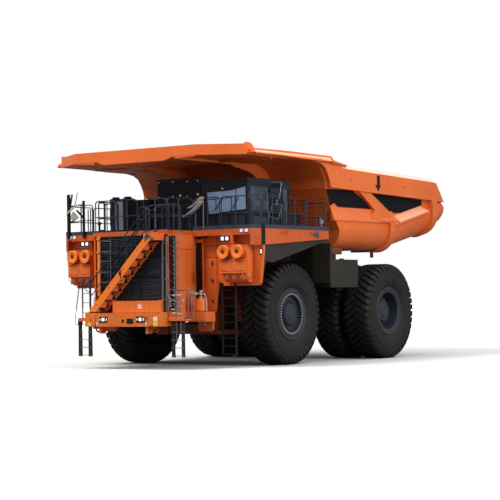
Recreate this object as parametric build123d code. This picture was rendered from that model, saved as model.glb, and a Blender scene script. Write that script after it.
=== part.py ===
from build123d import *
import os
import math

# Rigid-frame mining dump truck, about 15.4 m long, standing on its wheels with the bed down.
# Millimetres. +X is the truck's own left, the front faces -Y, +Z is up, the ground is z = 0.
# The sizes below are stated with the front axle at y = -3000. At the end every piece is moved
# by SHIFT_Y, which puts the origin under the middle of the whole box.

# ---------------------------------------------------------------- main sizes
FRONT_Y = -8100            # foremost face (bumper guards)
REAR_Y = 7340              # rearmost point (tail of the bed)
SHIFT_Y = -(FRONT_Y + REAR_Y) / 2

AXLE_F = -3000             # front axle
AXLE_R = 2820              # rear axle, wheelbase 5820
TYRE_R = 1781              # tyre radius, also the height of the axles
TYRE_W = 1090              # tread width
BULGE = 585                # half width of the tyre at its widest
BORE_R = 740               # tyre seat radius
FRONT_WX = 3075            # middle of a front tyre
REAR_WX = (2295, 3665)     # middles of the twin rear tyres

KP_X = 2250                # steering axis, vertical
KP_R = 215                 # steering housing radius
SPINDLE_R = 250
ARM = 600                  # steering arm, back from the steering axis
TIE_Z = 1190
CYL_Y = 400                # steering cylinder pin, back from the steering axis
CYL_A = 364                # the cylinder's own axis: the pin swings 36 either side of it
CYL_Z = 1410

DECK_Z = 4690              # deck surface
KICK_Z = 4830              # top of the kick plate round the deck
RAIL_MID = 5230
RAIL_TOP = 5780

PIVOT_Y, PIVOT_Z = 4000, 3350       # bed pivot
HOIST_X = 1180
HOIST_LO = (200, 1550)              # lower hoist pin (y, z)
HOIST_UP = (600, 3600)              # upper hoist pin on the bed (y, z)

WALL = 90                  # bed plate with its stiffening
TUB_Z = 4100               # underside of the front of the bed
TUB_KINK = 3000            # where the bed floor starts to rise
TUB_SLOPE = 0.205
TAIL_KINK, TAIL_SLOPE = 6450, 0.40   # and where the tail turns up more


# ---------------------------------------------------------------- helpers
def bx(x0, x1, y0, y1, z0, z1):
    """box from its limits"""
    return Pos((x0 + x1) / 2, (y0 + y1) / 2, (z0 + z1) / 2) * Box(abs(x1 - x0), abs(y1 - y0), abs(z1 - z0))


def poly_x(pts, x0, x1):
    """prism along X of a (y, z) outline"""
    f = make_face(Polyline(*[(x0, y, z) for y, z in pts], close=True))
    return extrude(f, amount=abs(x1 - x0), dir=(1 if x1 > x0 else -1, 0, 0))


def poly_y(pts, y0, y1, slope=0.0):
    """prism along Y of an (x, z) outline, rising by slope"""
    f = make_face(Polyline(*[(x, y0, z) for x, z in pts], close=True))
    d = Vector(0, 1, slope)
    return extrude(f, amount=abs(y1 - y0) * d.length, dir=d.normalized())


def poly_z(pts, z0, z1):
    """prism along Z of an (x, y) outline"""
    f = make_face(Polyline(*[(x, y, z0) for x, y in pts], close=True))
    return extrude(f, amount=abs(z1 - z0), dir=(0, 0, 1))


def rod(p, q, r):
    """round bar from p to q"""
    p, q = Vector(*p), Vector(*q)
    d = q - p
    return Plane(origin=p, z_dir=d.normalized()) * Pos(0, 0, d.length / 2) * Cylinder(r, d.length)


def pipe(p, q, ro, ri):
    """round tube from p to q"""
    return rod(p, q, ro) - rod(p, q, ri)


def both(s):
    """a piece and its twin on the other side"""
    return [s, mirror(s, about=Plane.YZ)]


def fuse(parts):
    out = parts[0]
    for p in parts[1:]:
        out = out + p
    return out


def save(name, shapes):
    solids = []
    for s in shapes if isinstance(shapes, (list, tuple)) else [shapes]:
        solids += list(s.solids())
    moved = [Pos(0, SHIFT_Y, 0) * s for s in solids]
    export_step(Compound(children=moved) if len(moved) > 1 else moved[0], f"parts/{name}.step")


os.makedirs("parts", exist_ok=True)

# ================================================================ wheels
# tyre section: (distance from the tyre's middle, radius); symmetric
TYRE_SEC = [(415, BORE_R), (425, 900), (520, 1060), (BULGE, 1300), (575, 1560), (545, 1700), (480, 1765), (380, TYRE_R)]


def tyre(cx, cy):
    pts = [(cx + x, cy, TYRE_R + r) for x, r in TYRE_SEC] + [(cx - x, cy, TYRE_R + r) for x, r in reversed(TYRE_SEC)]
    f = make_face(Polyline(*pts, close=True))
    return revolve(f, Axis((cx, cy, TYRE_R), (1, 0, 0)), 360)


def turned(sec, cy):
    """body of revolution about a wheel's axis from an (x, radius) outline"""
    f = make_face(Polyline(*[(x, cy, TYRE_R + r) for x, r in sec], close=True))
    return revolve(f, Axis((0, cy, TYRE_R), (1, 0, 0)), 360)


def front_rim(cx, cy):
    # (x from the tyre's middle, radius): inner flange, barrel, outer flange, face, hub cap, bore
    sec = [(-460, 690), (-460, 905), (-430, 905), (-425, BORE_R - 2), (425, BORE_R - 2), (430, 905), (460, 905), (470, 760),
           (440, 730), (430, 640), (330, 620), (330, 430), (400, 400), (400, 0), (60, 0), (60, SPINDLE_R + 8), (-330, SPINDLE_R + 8),
           (-330, 640), (-380, 690)]
    return turned([(cx + x, r) for x, r in sec], cy)


def rear_rims(cy):
    a, b = REAR_WX
    # inner rim, spacer and outer rim in one, with the deep dish of the outer wheel
    sec = [(a - 460, 660), (a - 460, 905), (a - 430, 905), (a - 425, BORE_R - 2), (a + 425, BORE_R - 2), (a + 430, 905), (a + 460, 905),
           (a + 470, 720), (b - 470, 720), (b - 460, 905), (b - 430, 905), (b - 425, BORE_R - 2), (b + 425, BORE_R - 2), (b + 430, 905),
           (b + 460, 905), (b + 465, 800), (b + 430, 700), (b + 20, 665), (b + 20, 560), (b + 120, 520), (b + 120, 330), (b + 190, 300), (b + 190, 0),
           (a - 380, 0), (a - 380, 620)]
    return turned(sec, cy)


# wheel table: name, side sign
for side, sg in (("left", 1), ("right", -1)):
    m = (lambda s: s) if sg > 0 else (lambda s: mirror(s, about=Plane.YZ))
    save(f"front_tyre_{side}", m(tyre(FRONT_WX, AXLE_F)))
    save(f"front_rim_{side}", m(front_rim(FRONT_WX, AXLE_F)))
    save(f"rear_tyres_{side}", [m(tyre(x, AXLE_R)) for x in REAR_WX])
    save(f"rear_rims_{side}", m(rear_rims(AXLE_R)))

    # steering knuckle: housing, spindle, arm to the rear with its two pin bosses
    kn = fuse([
        rod((KP_X, AXLE_F, 1260), (KP_X, AXLE_F, 2380), KP_R),
        rod((KP_X, AXLE_F, TYRE_R), (FRONT_WX + 40, AXLE_F, TYRE_R), SPINDLE_R),
        bx(KP_X - 120, KP_X + 95, AXLE_F, AXLE_F + ARM, 1290, 1350),
        rod((KP_X, AXLE_F + ARM, 1290), (KP_X, AXLE_F + ARM, 1350), 120),
        rod((KP_X, AXLE_F + ARM, 1130), (KP_X, AXLE_F + ARM, 1290), 38),
        rod((KP_X, AXLE_F + CYL_Y, 1340), (KP_X, AXLE_F + CYL_Y, 1470), 30),
    ])
    save(f"knuckle_{side}", m(kn))
    # steering rod (moves in its barrel) with its eye; the eye is open round the pin
    rd = rod((1090, AXLE_F + CYL_A, CYL_Z), (KP_X - 95, AXLE_F + CYL_A, CYL_Z), 45)
    eye = rod((KP_X, AXLE_F + CYL_A, CYL_Z - 40), (KP_X, AXLE_F + CYL_A, CYL_Z + 40), 114) - \
        rod((KP_X, AXLE_F + CYL_A, CYL_Z - 50), (KP_X, AXLE_F + CYL_A, CYL_Z + 50), 84)
    save(f"steering_rod_{side}", m(rd + eye))

# tie rod with an eye at each end
tie = rod((-(KP_X - 75), AXLE_F + ARM, TIE_Z + 20), (KP_X - 75, AXLE_F + ARM, TIE_Z + 20), 55)
for x in (KP_X, -KP_X):
    tie = tie + rod((x, AXLE_F + ARM, TIE_Z - 40), (x, AXLE_F + ARM, TIE_Z + 80), 88)
for x in (KP_X, -KP_X):
    tie = tie - rod((x, AXLE_F + ARM, TIE_Z - 60), (x, AXLE_F + ARM, TIE_Z + 90), 41)
save("tie_rod", tie)

# steering cylinder barrels, on brackets under the frame
barrels = []
br = pipe((820, AXLE_F + CYL_A, CYL_Z), (1640, AXLE_F + CYL_A, CYL_Z), 85, 50) + rod((760, AXLE_F + CYL_A, CYL_Z), (830, AXLE_F + CYL_A, CYL_Z), 85) \
    + bx(640, 780, AXLE_F + CYL_A - 110, AXLE_F + CYL_A + 110, CYL_Z - 90, 2300)
steer_barrels = br

# ================================================================ chassis
RAIL = [(-7350, 1620), (-7350, 2250), (-7150, 2250), (-4700, 2450), (-3700, 2950), (400, 3050), (2300, 3300), (3480, 3300), (3480, 2750),
        (3300, 2650), (1900, 2620), (700, 2350), (-3000, 2100), (-4700, 1620)]
frame = [poly_x(RAIL, 560, 900)]
frame += [mirror(frame[0], about=Plane.YZ)]
# cross members: (y0, y1, z0, z1)
for y0, y1, z0, z1 in [(-7350, -7100, 1640, 2230), (-5500, -5100, 1640, 2100), (-3250, -2750, 2180, 2600), (-400, 0, 2350, 2750), (1300, 1600, 2700, 3100), (3150, 3450, 2780, 3100),
                       (-6300, -6000, 2100, 2700), (-3900, -3600, 2300, 2700)]:
    frame.append(bx(-600, 600, y0, y1, z0, z1))
# bed pivot ears on the frame with the pin, and the hoist brackets
for sx in (1, -1):
    for e0, e1 in ((600, 700), (885, 960)):
        frame.append(poly_x([(3300, 2800), (3480, 2800), (PIVOT_Y + 60, PIVOT_Z - 190), (PIVOT_Y + 170, PIVOT_Z - 60), (PIVOT_Y + 170, PIVOT_Z + 60), (PIVOT_Y + 90, PIVOT_Z + 150), (PIVOT_Y - 90, PIVOT_Z + 150), (3480, 3300), (3300, 3300)], sx * e0, sx * e1))
    frame.append(rod((sx * 605, PIVOT_Y, PIVOT_Z), (sx * 960, PIVOT_Y, PIVOT_Z), 80))
    # rest pads under the bed's sills
    frame.append(bx(sx * 730, sx * 860, 2350, 2650, 3250, 3455))
    frame.append(bx(sx * 730, sx * 860, 0, 300, 3000, 3455))
    frame.append(poly_x([(-50, 2400), (450, 2450), (300, 1450), (100, 1450)], sx * 860, sx * 960))
    frame.append(rod((sx * 900, HOIST_LO[0], HOIST_LO[1]), (sx * (HOIST_X + 60), HOIST_LO[0], HOIST_LO[1]), 60))
chassis = fuse(frame)
save("chassis_frame", chassis)
steer_barrels = steer_barrels - chassis
save("steering_cylinders", both(steer_barrels.solids().sort_by(SortBy.VOLUME)[-1]))

# engine: one plain block at its real place and size, between the rails
save("engine_block", bx(-540, 540, -6500, -3400, 2700, 4150))

# radiator: core, top and bottom tanks, side posts
rad = bx(-1340, 1340, -7540, -7180, 2380, 4500)
rad = rad + bx(-1400, 1400, -7580, -7360, 2350, 2520) + bx(-1400, 1400, -7360, -7150, 2250, 2520) + bx(-1400, 1400, -7580, -7150, 4380, 4530)
save("radiator", rad)

# ================================================================ nose
# bumper: beam, box above it, end blocks, tow eyes
bump = fuse([
    bx(-1620, 1620, -8070, -7600, 1460, 1930),
    bx(-500, 1450, -7930, -7600, 1930, 2340),
    bx(-1560, -500, -7600, -7350, 1460, 1930), bx(500, 1560, -7600, -7350, 1460, 1930),
    bx(-560, 560, -7600, -7355, 1640, 1930),
])
for sx in (1, -1):
    bump = bump + bx(sx * 960, sx * 1060, -8000, -7750, 1220, 1460) + bx(sx * 560, sx * 900, -7560, -7352, 1500, 1900)
    bump = bump + bx(sx * 1150, sx * 1330, -8100, -8060, 1500, 1890)
for sx in (1, -1):
    bump = bump - rod((sx * 940, -7870, 1320), (sx * 1080, -7870, 1320), 45)
save("front_bumper", bump)

# side platforms low down beside the bumper, with step and hangers: root
plat = []
for sx in (1, -1):
    plat.append(fuse([
        bx(sx * 1620, sx * 2300, -7650, -7230, 1640, 1700),
        bx(sx * 1620, sx * 1685, -7600, -6100, 1640, 1925),
        bx(sx * 1620, sx * 2470, -6660, -6090, 1590, 1925),
        poly_y([(sx * 1880, 1250), (sx * 2350, 1250), (sx * 2430, 1330), (sx * 2430, 1590), (sx * 1800, 1590), (sx * 1800, 1330)], -6170, -6090),
    ]))

# ladders: (side, x0, x1, y, top z of the stiles, half width of a stile)
lad = []
for x0, x1, y, ztop, st in [(-2290, -1740, -7560, 1640, 45), (1800, 2200, -7560, 1640, 35), (2580, 3200, -5860, 2900, 30)]:
    l = bx(x0, x0 + 2 * st, y - 30, y + 30, 420, ztop) + bx(x1 - 2 * st, x1, y - 30, y + 30, 420, ztop)
    for k in range(5 if ztop < 2000 else 9):
        zr = 450 + k * 270
        l = l + bx(x0 + 2 * st - 5, x1 - 2 * st + 5, y - 22, y + 22, zr, zr + 40)
    lad.append(l)
save("boarding_platforms", [plat[0] + lad[1], lad[2], plat[1] + lad[0]])

# diagonal stairs across the front of the radiator
ST_LO = (-1330, 1930)      # foot (x, z)
ST_HI = (1120, 4400)       # head
dx, dz = ST_HI[0] - ST_LO[0], ST_HI[1] - ST_LO[1]
n_st = 9
sl = math.hypot(dx, dz)
ux, uz = dx / sl, dz / sl


def stringer(y0, y1, w):
    # parallelogram (x, z) with a flat foot and head
    return poly_y([(ST_LO[0] - w, ST_LO[1]), (ST_LO[0] + w * 0.25, ST_LO[1]), (ST_HI[0] + w * 0.25, ST_HI[1]), (ST_HI[0] - w, ST_HI[1])], y0, y1)


st = [stringer(-7960, -7920, 330), stringer(-7640, -7600, 330)]
for k in range(n_st):
    t = (k + 0.6) / n_st
    cx, cz = ST_LO[0] + dx * t, ST_LO[1] + dz * t
    st.append(bx(cx - 190, cx + 60, -7925, -7635, cz - 20, cz + 20))
st.append(bx(880, 1500, -7960, -7590, 4340, 4540))
save("front_stairs", fuse(st))

# panels round the engine bay, and the wall in front of each front wheel
pan = []
for sx in (1, -1):
    side_wall = bx(sx * 1560, sx * 1620, -7540, -5950, 1925, 4540)
    inner = bx(sx * 1620, sx * 1900, -5990, -5950, 2330, 4400)
    # the right wall's lower outer corner is cut away behind its blower box
    low = [(4120, 2780), (4200, 2850)] if sx > 0 else [(3870, 2800), (3930, 3060), (4110, 3130), (4240, 3290)]
    wall = poly_y([(sx * x, z) for x, z in [(1900, 1925), (2300, 1925), (2460, 2930), (2520, 2930), (2670, 2780)] + low + [(4330, 3960),
                   (4330, 4135), (4235, 4135), (4235, 4500), (1900, 4500)]], -5830, -5760)
    web = bx(sx * 1860, sx * 1920, -5990, -5760, 1925, 4500)
    pan.append(fuse([side_wall, inner, web, wall]))
save("nose_panels", pan)

# blower boxes in front of those walls
blow = []
for sx in (1, -1):
    b = fuse([
        bx(sx * 2880, sx * 3870, -6230, -5830, 3180, 4130),
        bx(sx * 2860, sx * 3880, -6310, -6230, 3230, 3640),
        bx(sx * 2920, sx * 3300, -6300, -6110, 4240, 4490),
        poly_x([(-6230, 3180), (-5830, 3180), (-5830, 2900), (-6050, 2900)], sx * 2900, sx * 3850),
        bx(sx * 2940, sx * 3280, -6200, -5830, 4120, 4250),
    ])
    for x in (3030, 3610):
        b = b + (rod((sx * x, -6400, 3920), (sx * x, -6200, 3920), 236) - rod((sx * x, -6410, 3920), (sx * x, -6350, 3920), 70))
    blow.append(b)
save("blower_boxes", blow)

# ================================================================ decks
DECK = [(1560, -6170), (4040, -6170), (4300, -5900), (4300, -1660), (1560, -1660)]
deck = []
for sx in (1, -1):
    pts = [(sx * x, y) for x, y in DECK]
    d = poly_z(pts, DECK_Z - 60, DECK_Z)
    # side band, deeper at the front, and the front band
    d = d + poly_x([(-5900, DECK_Z), (-5900, 4150), (-5560, 4150), (-1660, 4410), (-1660, DECK_Z)], sx * 4240, sx * 4300)
    d = d + bx(sx * 1620, sx * 4040, -6170, -6110, 4500, DECK_Z)
    d = d + poly_z([(sx * 4040, -6170), (sx * 4300, -5900), (sx * 4300, -5800), (sx * 4240, -5800), (sx * 4240, -5870), (sx * 4015, -6100), (sx * 4015, -6170)], 4140, DECK_Z)
    d = d + bx(sx * 1620, sx * 4240, -1720, -1660, 4450, DECK_Z)
    d = d + bx(sx * 1560, sx * 1620, -6170, -1660, 4540, DECK_Z)
    # kick plates
    d = d + bx(sx * 4270, sx * 4300, -5900, -1660, DECK_Z, KICK_Z)
    d = d + poly_z([(sx * 1620, -6170), (sx * 4040, -6170), (sx * 4300, -5900), (sx * 4270, -5880), (sx * 4025, -6140), (sx * 1620, -6140)], DECK_Z, KICK_Z)
    deck.append(d)
mid = fuse([bx(-1560, 1560, -7590, -3300, 4560, DECK_Z), bx(-1620, 1620, -7590, -7540, 4540, DECK_Z + 20), bx(-1620, -1560, -7590, -6170, 4540, DECK_Z), bx(1560, 1620, -7590, -6170, 4540, DECK_Z)])
deck = fuse([deck[0], mid, deck[1]])
save("deck", deck)

# deck supports: posts from the frame, cross beams, sloping brackets and the dark box beam
sup = []
for sx in (1, -1):
    sup.append(bx(sx * 1100, sx * 1400, -5480, -5130, 2300, 4540))
    sup.append(bx(sx * 850, sx * 1400, -5480, -5130, 2000, 2300))
    sup.append(bx(sx * 1100, sx * 1500, -2300, -1900, 3020, 4540))
    sup.append(bx(sx * 850, sx * 1500, -2300, -1900, 2750, 3020))
    sup.append(bx(sx * 1620, sx * 4230, -5500, -5250, 4300, 4620))
    sup.append(poly_y([(sx * 1100, 3900), (sx * 1100, 4540), (sx * 4230, 4620), (sx * 4230, 4440)], -2300, -1950))
    sup.append(poly_x([(-5755, 4620), (-5755, 2950), (-5700, 3290), (-5560, 3590), (-5170, 3560), (-1750, 4335), (-1750, 4620)], sx * 4160, sx * 4235))
sup.append(bx(-1620, 1620, -5480, -5130, 4300, 4555))
sup.append(bx(-1500, 1500, -2300, -1900, 4300, 4560))
sup = fuse(sup) - chassis - deck
save("deck_supports", sup)

# ================================================================ cab
CX0, CX1 = 1720, 3630
CY0, CY1 = -5720, -3120
CZ0, CZ1 = DECK_Z, 6350
T = 70
DOOR = (-4290, -3670, 4800, 6200)       # y0, y1, z0, z1
HINGE_X = 3656                          # the door turns about the line x = 3656, y = -3670
outer = bx(CX0, CX1, CY0, CY1, CZ0, CZ1)
inner = bx(CX0 + T, CX1 - T, CY0 + T, CY1 - T, CZ0 + 90, CZ1 - 90)
shell = outer - inner
# windows: (x0, x1, y0, y1, z0, z1)
WIN = [
    (CX0 + 160, CX1 - 110, CY0 - 20, CY0 + T + 20, 5330, 6170),      # windscreen
    (CX0 + 200, CX1 - 200, CY1 - T - 20, CY1 + 20, 5450, 6150),      # rear window
    (CX1 - T - 20, CX1 + 20, CY0 + 150, DOOR[0] - 110, 5330, 6170),  # left front quarter
    (CX0 - 20, CX0 + T + 20, CY0 + 1250, CY1 - 200, 5400, 6150),     # right side
    (CX1 - T - 20, CX1 + 20, DOOR[1] + 100, CY1 - 100, 5450, 6150),  # left rear quarter
]
for w in WIN:
    shell = shell - bx(*w)
shell = shell - bx(CX1 - T - 20, CX1 + 20, DOOR[0] - 8, DOOR[1] + 8, DOOR[2] - 8, DOOR[3] + 8)
# roof cap with an overhang at the front
shell = shell + bx(CX0 - 20, CX1 + 20, CY0 - 60, CY1 + 20, CZ1 - 5, CZ1 + 60)
save("cab_shell", shell)

# door: frame with its window cut, and its glass
dy0, dy1, dz0, dz1 = DOOR
door = bx(CX1 - T + 5, CX1, dy0, dy1, dz0, dz1) - bx(CX1 - T - 20, CX1 + 20, dy0 + 90, dy1 - 90, 5420, dz1 - 90)
door = door + bx(CX1, CX1 + 30, dy0 + 60, dy0 + 100, 5180, 5330)
for z in (4950, 5500, 6050):
    door = door + bx(CX1 - 5, HINGE_X, dy1 - 90, dy1, z - 50, z + 50) + rod((HINGE_X, dy1, z - 60), (HINGE_X, dy1, z + 60), 18)
save("cab_door", door)
save("cab_door_glass", bx(CX1 - 45, CX1 - 35, dy0 + 90, dy1 - 90, 5420, dz1 - 90))
G = 10
glass = [
    bx(WIN[0][0], WIN[0][1], CY0 + 30, CY0 + 30 + G, WIN[0][4], WIN[0][5]),
    bx(WIN[1][0], WIN[1][1], CY1 - 40, CY1 - 40 + G, WIN[1][4], WIN[1][5]),
    bx(CX1 - 40, CX1 - 40 + G, WIN[2][2], WIN[2][3], WIN[2][4], WIN[2][5]),
    bx(CX0 + 30, CX0 + 30 + G, WIN[3][2], WIN[3][3], WIN[3][4], WIN[3][5]),
    bx(CX1 - 40, CX1 - 40 + G, WIN[4][2], WIN[4][3], WIN[4][4], WIN[4][5]),
]
save("cab_glass", glass)
# inside: driver's seat, trainer's seat, dash with column and wheel
SX = 2650
seat = fuse([bx(SX - 260, SX + 260, -4650, -4130, 5180, 5330), bx(SX - 250, SX + 250, -4180, -4060, 5250, 5980), bx(SX - 160, SX + 160, -4560, -4200, CZ0 + 90, 5190)])
seat2 = fuse([bx(1900, 2300, -4500, -4050, 5130, 5250), bx(1900, 2300, -4100, -4000, 5200, 5800), bx(1960, 2240, -4400, -4100, CZ0 + 90, 5140)])
dash = fuse([bx(CX0 + T + 20, CX1 - T - 20, CY0 + T + 20, CY0 + T + 380, CZ0 + 90, 5290), rod((SX, -5350, 5200), (SX, -4960, 5420), 40),
             rod((SX, -4985, 5405), (SX, -4945, 5429), 230)])
save("cab_interior", [seat, seat2, dash])

# ================================================================ on the deck
cab2 = bx(-190, 1660, -5760, -4560, DECK_Z, 6530)
cab2 = cab2 + bx(-60, 1540, -4560, -3500, DECK_Z, 5900)
save("deck_cabinets", [cab2, bx(2300, 3350, -2900, -2000, DECK_Z, 5260)])

air = [fuse([bx(-2760, -1640, -5560, -4700, DECK_Z, DECK_Z + 120)]
            + [rod((x, -5260, DECK_Z + 100), (x, -5260, 5960), 215) for x in (-2480, -1930)]
            + [rod((x, -5260, 5950), (x, -5260, 6060), 130) for x in (-2480, -1930)]
            + [bx(-1560, -700, -5560, -4760, DECK_Z, 5880), bx(-1700, -1500, -5400, -4900, DECK_Z, 5300)])]
save("air_cleaners", air)

# handrails: (x0, y0, x1, y1) runs with posts at both ends and in between
RUNS = [
    (4240, -5853, 4240, -1700, 4), (1660, -6110, 3865, -6110, 3), (3865, -6110, 4240, -5853, 1),
    (-4240, -5853, -4240, -1700, 4), (-1660, -6110, -3865, -6110, 3), (-3865, -6110, -4240, -5853, 1),
    (2100, -1700, 4240, -1700, 2), (-2100, -1700, -4240, -1700, 2),
]
PW = 22


def bar(x0, y0, x1, y1, z):
    L = math.hypot(x1 - x0, y1 - y0)
    a = math.degrees(math.atan2(y1 - y0, x1 - x0))
    return Pos((x0 + x1) / 2, (y0 + y1) / 2, z) * Rot(0, 0, a) * Box(L + 2 * PW, 2 * PW, 2 * PW)


rails = []
for sgn in (1, -1):
    parts = []
    for x0, y0, x1, y1, n in RUNS:
        if (x0 + x1) * sgn < 0:
            continue
        for z in (RAIL_MID, RAIL_TOP):
            parts.append(bar(x0, y0, x1, y1, z))
        for k in range(n + 1):
            px, py = x0 + (x1 - x0) * k / n, y0 + (y1 - y0) * k / n
            parts.append(bx(px - PW, px + PW, py - PW, py + PW, DECK_Z, RAIL_TOP))
    rails.append(fuse(parts))
save("handrails", rails)

# mirrors on arms
mir = []
m1 = fuse([poly_y([(3750, 6310), (4190, 6300), (4070, 5740), (3655, 5720)], -4490, -4440), bx(3630, 3740, -4480, -4450, 5980, 6040)])
m2 = fuse([poly_y([(3800, 5580), (4200, 5515), (4030, 5040), (3655, 5150)], -4490, -4440), bx(3850, 3890, -4480, -4450, 5500, 5780)])
mir.append(m1 + m2)
m3 = fuse([bx(-3990, -3930, -6235, -6175, 4560, 6180), bx(-3960, -3560, -6230, -6190, 5480, 5880), bx(-3990, -3900, -6235, -6100, 4560, 4620)])
mir.append((m3 - deck).solids().sort_by(SortBy.VOLUME)[-1])
save("mirrors", mir)

# tanks at the sides, between the wheels
# forward tank: its front is set back in plan to clear the steered tyre, (x, y)
TANK_F = [(4050, -1200), (4050, -1060), (3900, -1060), (3900, -960), (2200, -960), (2200, -985), (2650, -1010), (3000, -1090), (3300, -1170)]
tl = poly_z(TANK_F, 2850, 4280)
tl = tl + bx(1500, 3900, -960, 980, 2700, 3700)
tl = tl + bx(900, 1520, -760, -360, 2760, 2900) + bx(900, 1520, 865, 975, 2760, 2900)
tl = (tl - chassis).solids().sort_by(SortBy.VOLUME)[-1]
save("side_tanks", [tl, mirror(tl, about=Plane.YZ)])

# ================================================================ axles
fs = []
for sx in (1, -1):
    fs.append(rod((sx * KP_X, AXLE_F, 1080), (sx * KP_X, AXLE_F, 1250), 300))
    fs.append(poly_z([(sx * 900, -4350), (sx * 1350, -4350), (sx * (KP_X + 120), AXLE_F - 240), (sx * (KP_X - 50), AXLE_F + 60), (sx * (KP_X - 330), AXLE_F + 40), (sx * 900, -3850)], 1090, 1240))
    fs.append(bx(sx * 880, sx * 1300, -4350, -3900, 1090, 2200))
    fs.append(rod((sx * KP_X, AXLE_F, 2390), (sx * KP_X, AXLE_F, 3500), 190))
    fs.append(bx(sx * 890, sx * (KP_X + 60), AXLE_F - 170, AXLE_F + 170, 3400, 3700))
    fs.append(bx(sx * 890, sx * 1250, AXLE_F - 170, AXLE_F + 170, 2500, 3400))
fs.append(bx(-900, 900, -4300, -3950, 1100, 1450))
fs = fuse(fs) - chassis
save("front_suspension", [v for v in fs.solids() if v.volume > 1e6])

ra = [turned([(-1740, 0), (-1740, 560), (-1500, 640), (-900, 700), (900, 700), (1500, 640), (1740, 560), (1740, 0)], AXLE_R)]
ra.append(turned([(-500, 690), (-500, 900), (500, 900), (500, 690)], AXLE_R))
for sx in (1, -1):
    # nose link to the frame, struts behind
    ra.append(bx(sx * 1010, sx * 1290, 2850, 3250, 1500, 1800))
    ra.append(rod((sx * 1120, 3700, 1700), (sx * 1120, 3700, 2900), 150))
    ra.append(bx(sx * 980, sx * 1260, 3100, 3850, 1560, 1760))
    ra.append(bx(sx * 880, sx * 1270, 3560, 3840, 2880, 3080))
nose = poly_x([(900, 1900), (900, 2300), (2300, 2300), (2300, 1300), (1900, 1300)], -260, 260)
ra.append(nose)
ra.append(bx(-560, 560, 750, 950, 2050, 2450))
ra = fuse(ra) - chassis
save("rear_axle", [v for v in ra.solids() if v.volume > 1e6])

# ================================================================ bed
# half section of the bed's lower tub, (x, height above the bottom); the corner is an arc
HB, HS, HT = 3200, 4170, 720       # half bottom, half side, height of the arc's end


def section(y, z0, t, top):
    """closed face of the tub at y, its bottom at z0, set in by t, up to height top"""
    b, s, h = HB - t * 0.35, HS - t, HT
    zb = z0 + t
    mx, mz = b + (s - b) * 0.78, zb + (h - t) * 0.34
    arc_r = ThreePointArc((b, y, zb), (mx, y, mz), (s, y, z0 + h))
    arc_l = ThreePointArc((-s, y, z0 + h), (-mx, y, mz), (-b, y, zb))
    lines = [Line((-b, y, zb), (b, y, zb)), arc_r, Line((s, y, z0 + h), (s, y, z0 + top)), Line((s, y, z0 + top), (-s, y, z0 + top)),
             Line((-s, y, z0 + top), (-s, y, z0 + h)), arc_l]
    return make_face(Wire(lines))


def prism(face, y0, y1, slope):
    d = Vector(0, 1, slope)
    return extrude(face, amount=(y1 - y0) * d.length, dir=d.normalized())


# body side wall plane and rail
WX = 4060                   # outside of the recessed upper wall
RX = 4250                   # outside of the top rail
# front wall line of the bed, (y, z) from top to bottom
FW = [(-2350, 7180), (-2050, 7090), (-1790, 6960), (-1600, 6740), (-1470, 6500), (-1420, 6210), (-1160, 5610), (-980, 5110), (-710, 4760), (-530, TUB_Z - 10)]
TAIL = 7400
outer_f = prism(section(-2400, TUB_Z, 0, 1030), -2400, TUB_KINK, 0)
TAIL_Z = TUB_Z + (TAIL_KINK - TUB_KINK) * TUB_SLOPE
outer_r = prism(section(TUB_KINK, TUB_Z, 0, 1030), TUB_KINK, TAIL_KINK, TUB_SLOPE)
outer_t = prism(section(TAIL_KINK, TAIL_Z, 0, 1030), TAIL_KINK, TAIL, TAIL_SLOPE)
inner_f = prism(section(-2400, TUB_Z + 60, WALL, 890), -2400, TUB_KINK, 0)
inner_r = prism(section(TUB_KINK, TUB_Z + 60, WALL, 890), TUB_KINK, TAIL_KINK, TUB_SLOPE)
inner_t = prism(section(TAIL_KINK, TAIL_Z + 60, WALL, 890), TAIL_KINK, TAIL + 400, TAIL_SLOPE)
upper_o = poly_x([(-2450, 5000), (-2450, 7160), (-700, 7160), (-300, 7120), (6300, 6945), (7000, 6200), (7120, 6000), (7340, 5700), (7250, 5560), (3400, 4900)], -WX, WX)
upper_i = poly_x([(-2500, 4950), (-2500, 7300), (8000, 7300), (8000, 5975), (TUB_KINK, 4950)], -(WX - WALL), WX - WALL)
# keep only what lies behind the front wall's line
behind = poly_x(FW + [(-530, 3000), (9000, 3000), (9000, 7180)], -5000, 5000)
behind_in = poly_x([(y + WALL + 40, z) for y, z in FW] + [(-530 + WALL + 40, 3000), (9000, 3000), (9000, 7180)], -5000, 5000)
tub = (((outer_f + outer_r) + outer_t) + upper_o) & behind
cavity = (((inner_f + inner_r) + inner_t) + upper_i) & behind_in
tub = tub - cavity
# tail cut: the rear edge leans
tub = tub - poly_x([(7250, 3500), (7300, 4900), (7340, 5600), (7310, 5860), (7110, 6010), (7040, 6120), (6500, 6780), (6380, 7600), (9000, 7600), (9000, 3500)], -5000, 5000)
# bolster under the front of the floor
tub = tub + bx(-3600, 3600, -530, 350, 3900, TUB_Z + 50)
# sills under the floor, with the pivot ears and the hoist pins
LUG = [(480, 4150), (480, 3560), (540, 3500), (660, 3500), (720, 3560), (720, 4150)]
for sx in (1, -1):
    sill = poly_x([(-300, 3460), (-300, 4150), (2950, 4150), (4350, 4420), (4350, 3700), (PIVOT_Y + 200, PIVOT_Z), (PIVOT_Y + 60, PIVOT_Z - 190), (PIVOT_Y - 60, PIVOT_Z - 190), (3700, 3460)], sx * 715, sx * 875)
    sill = sill - rod((sx * 700, PIVOT_Y, PIVOT_Z), (sx * 900, PIVOT_Y, PIVOT_Z), 84)
    lug = poly_x(LUG, sx * 1010, sx * 1050)
    lug = lug + poly_x(LUG, sx * 1310, sx * 1350)
    tub = tub + sill + lug
for sx in (1, -1):
    tub = tub + bx(sx * 2860, sx * 2940, 3640, 3760, 3830, 4280)
save("bed_tub", tub)

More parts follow.
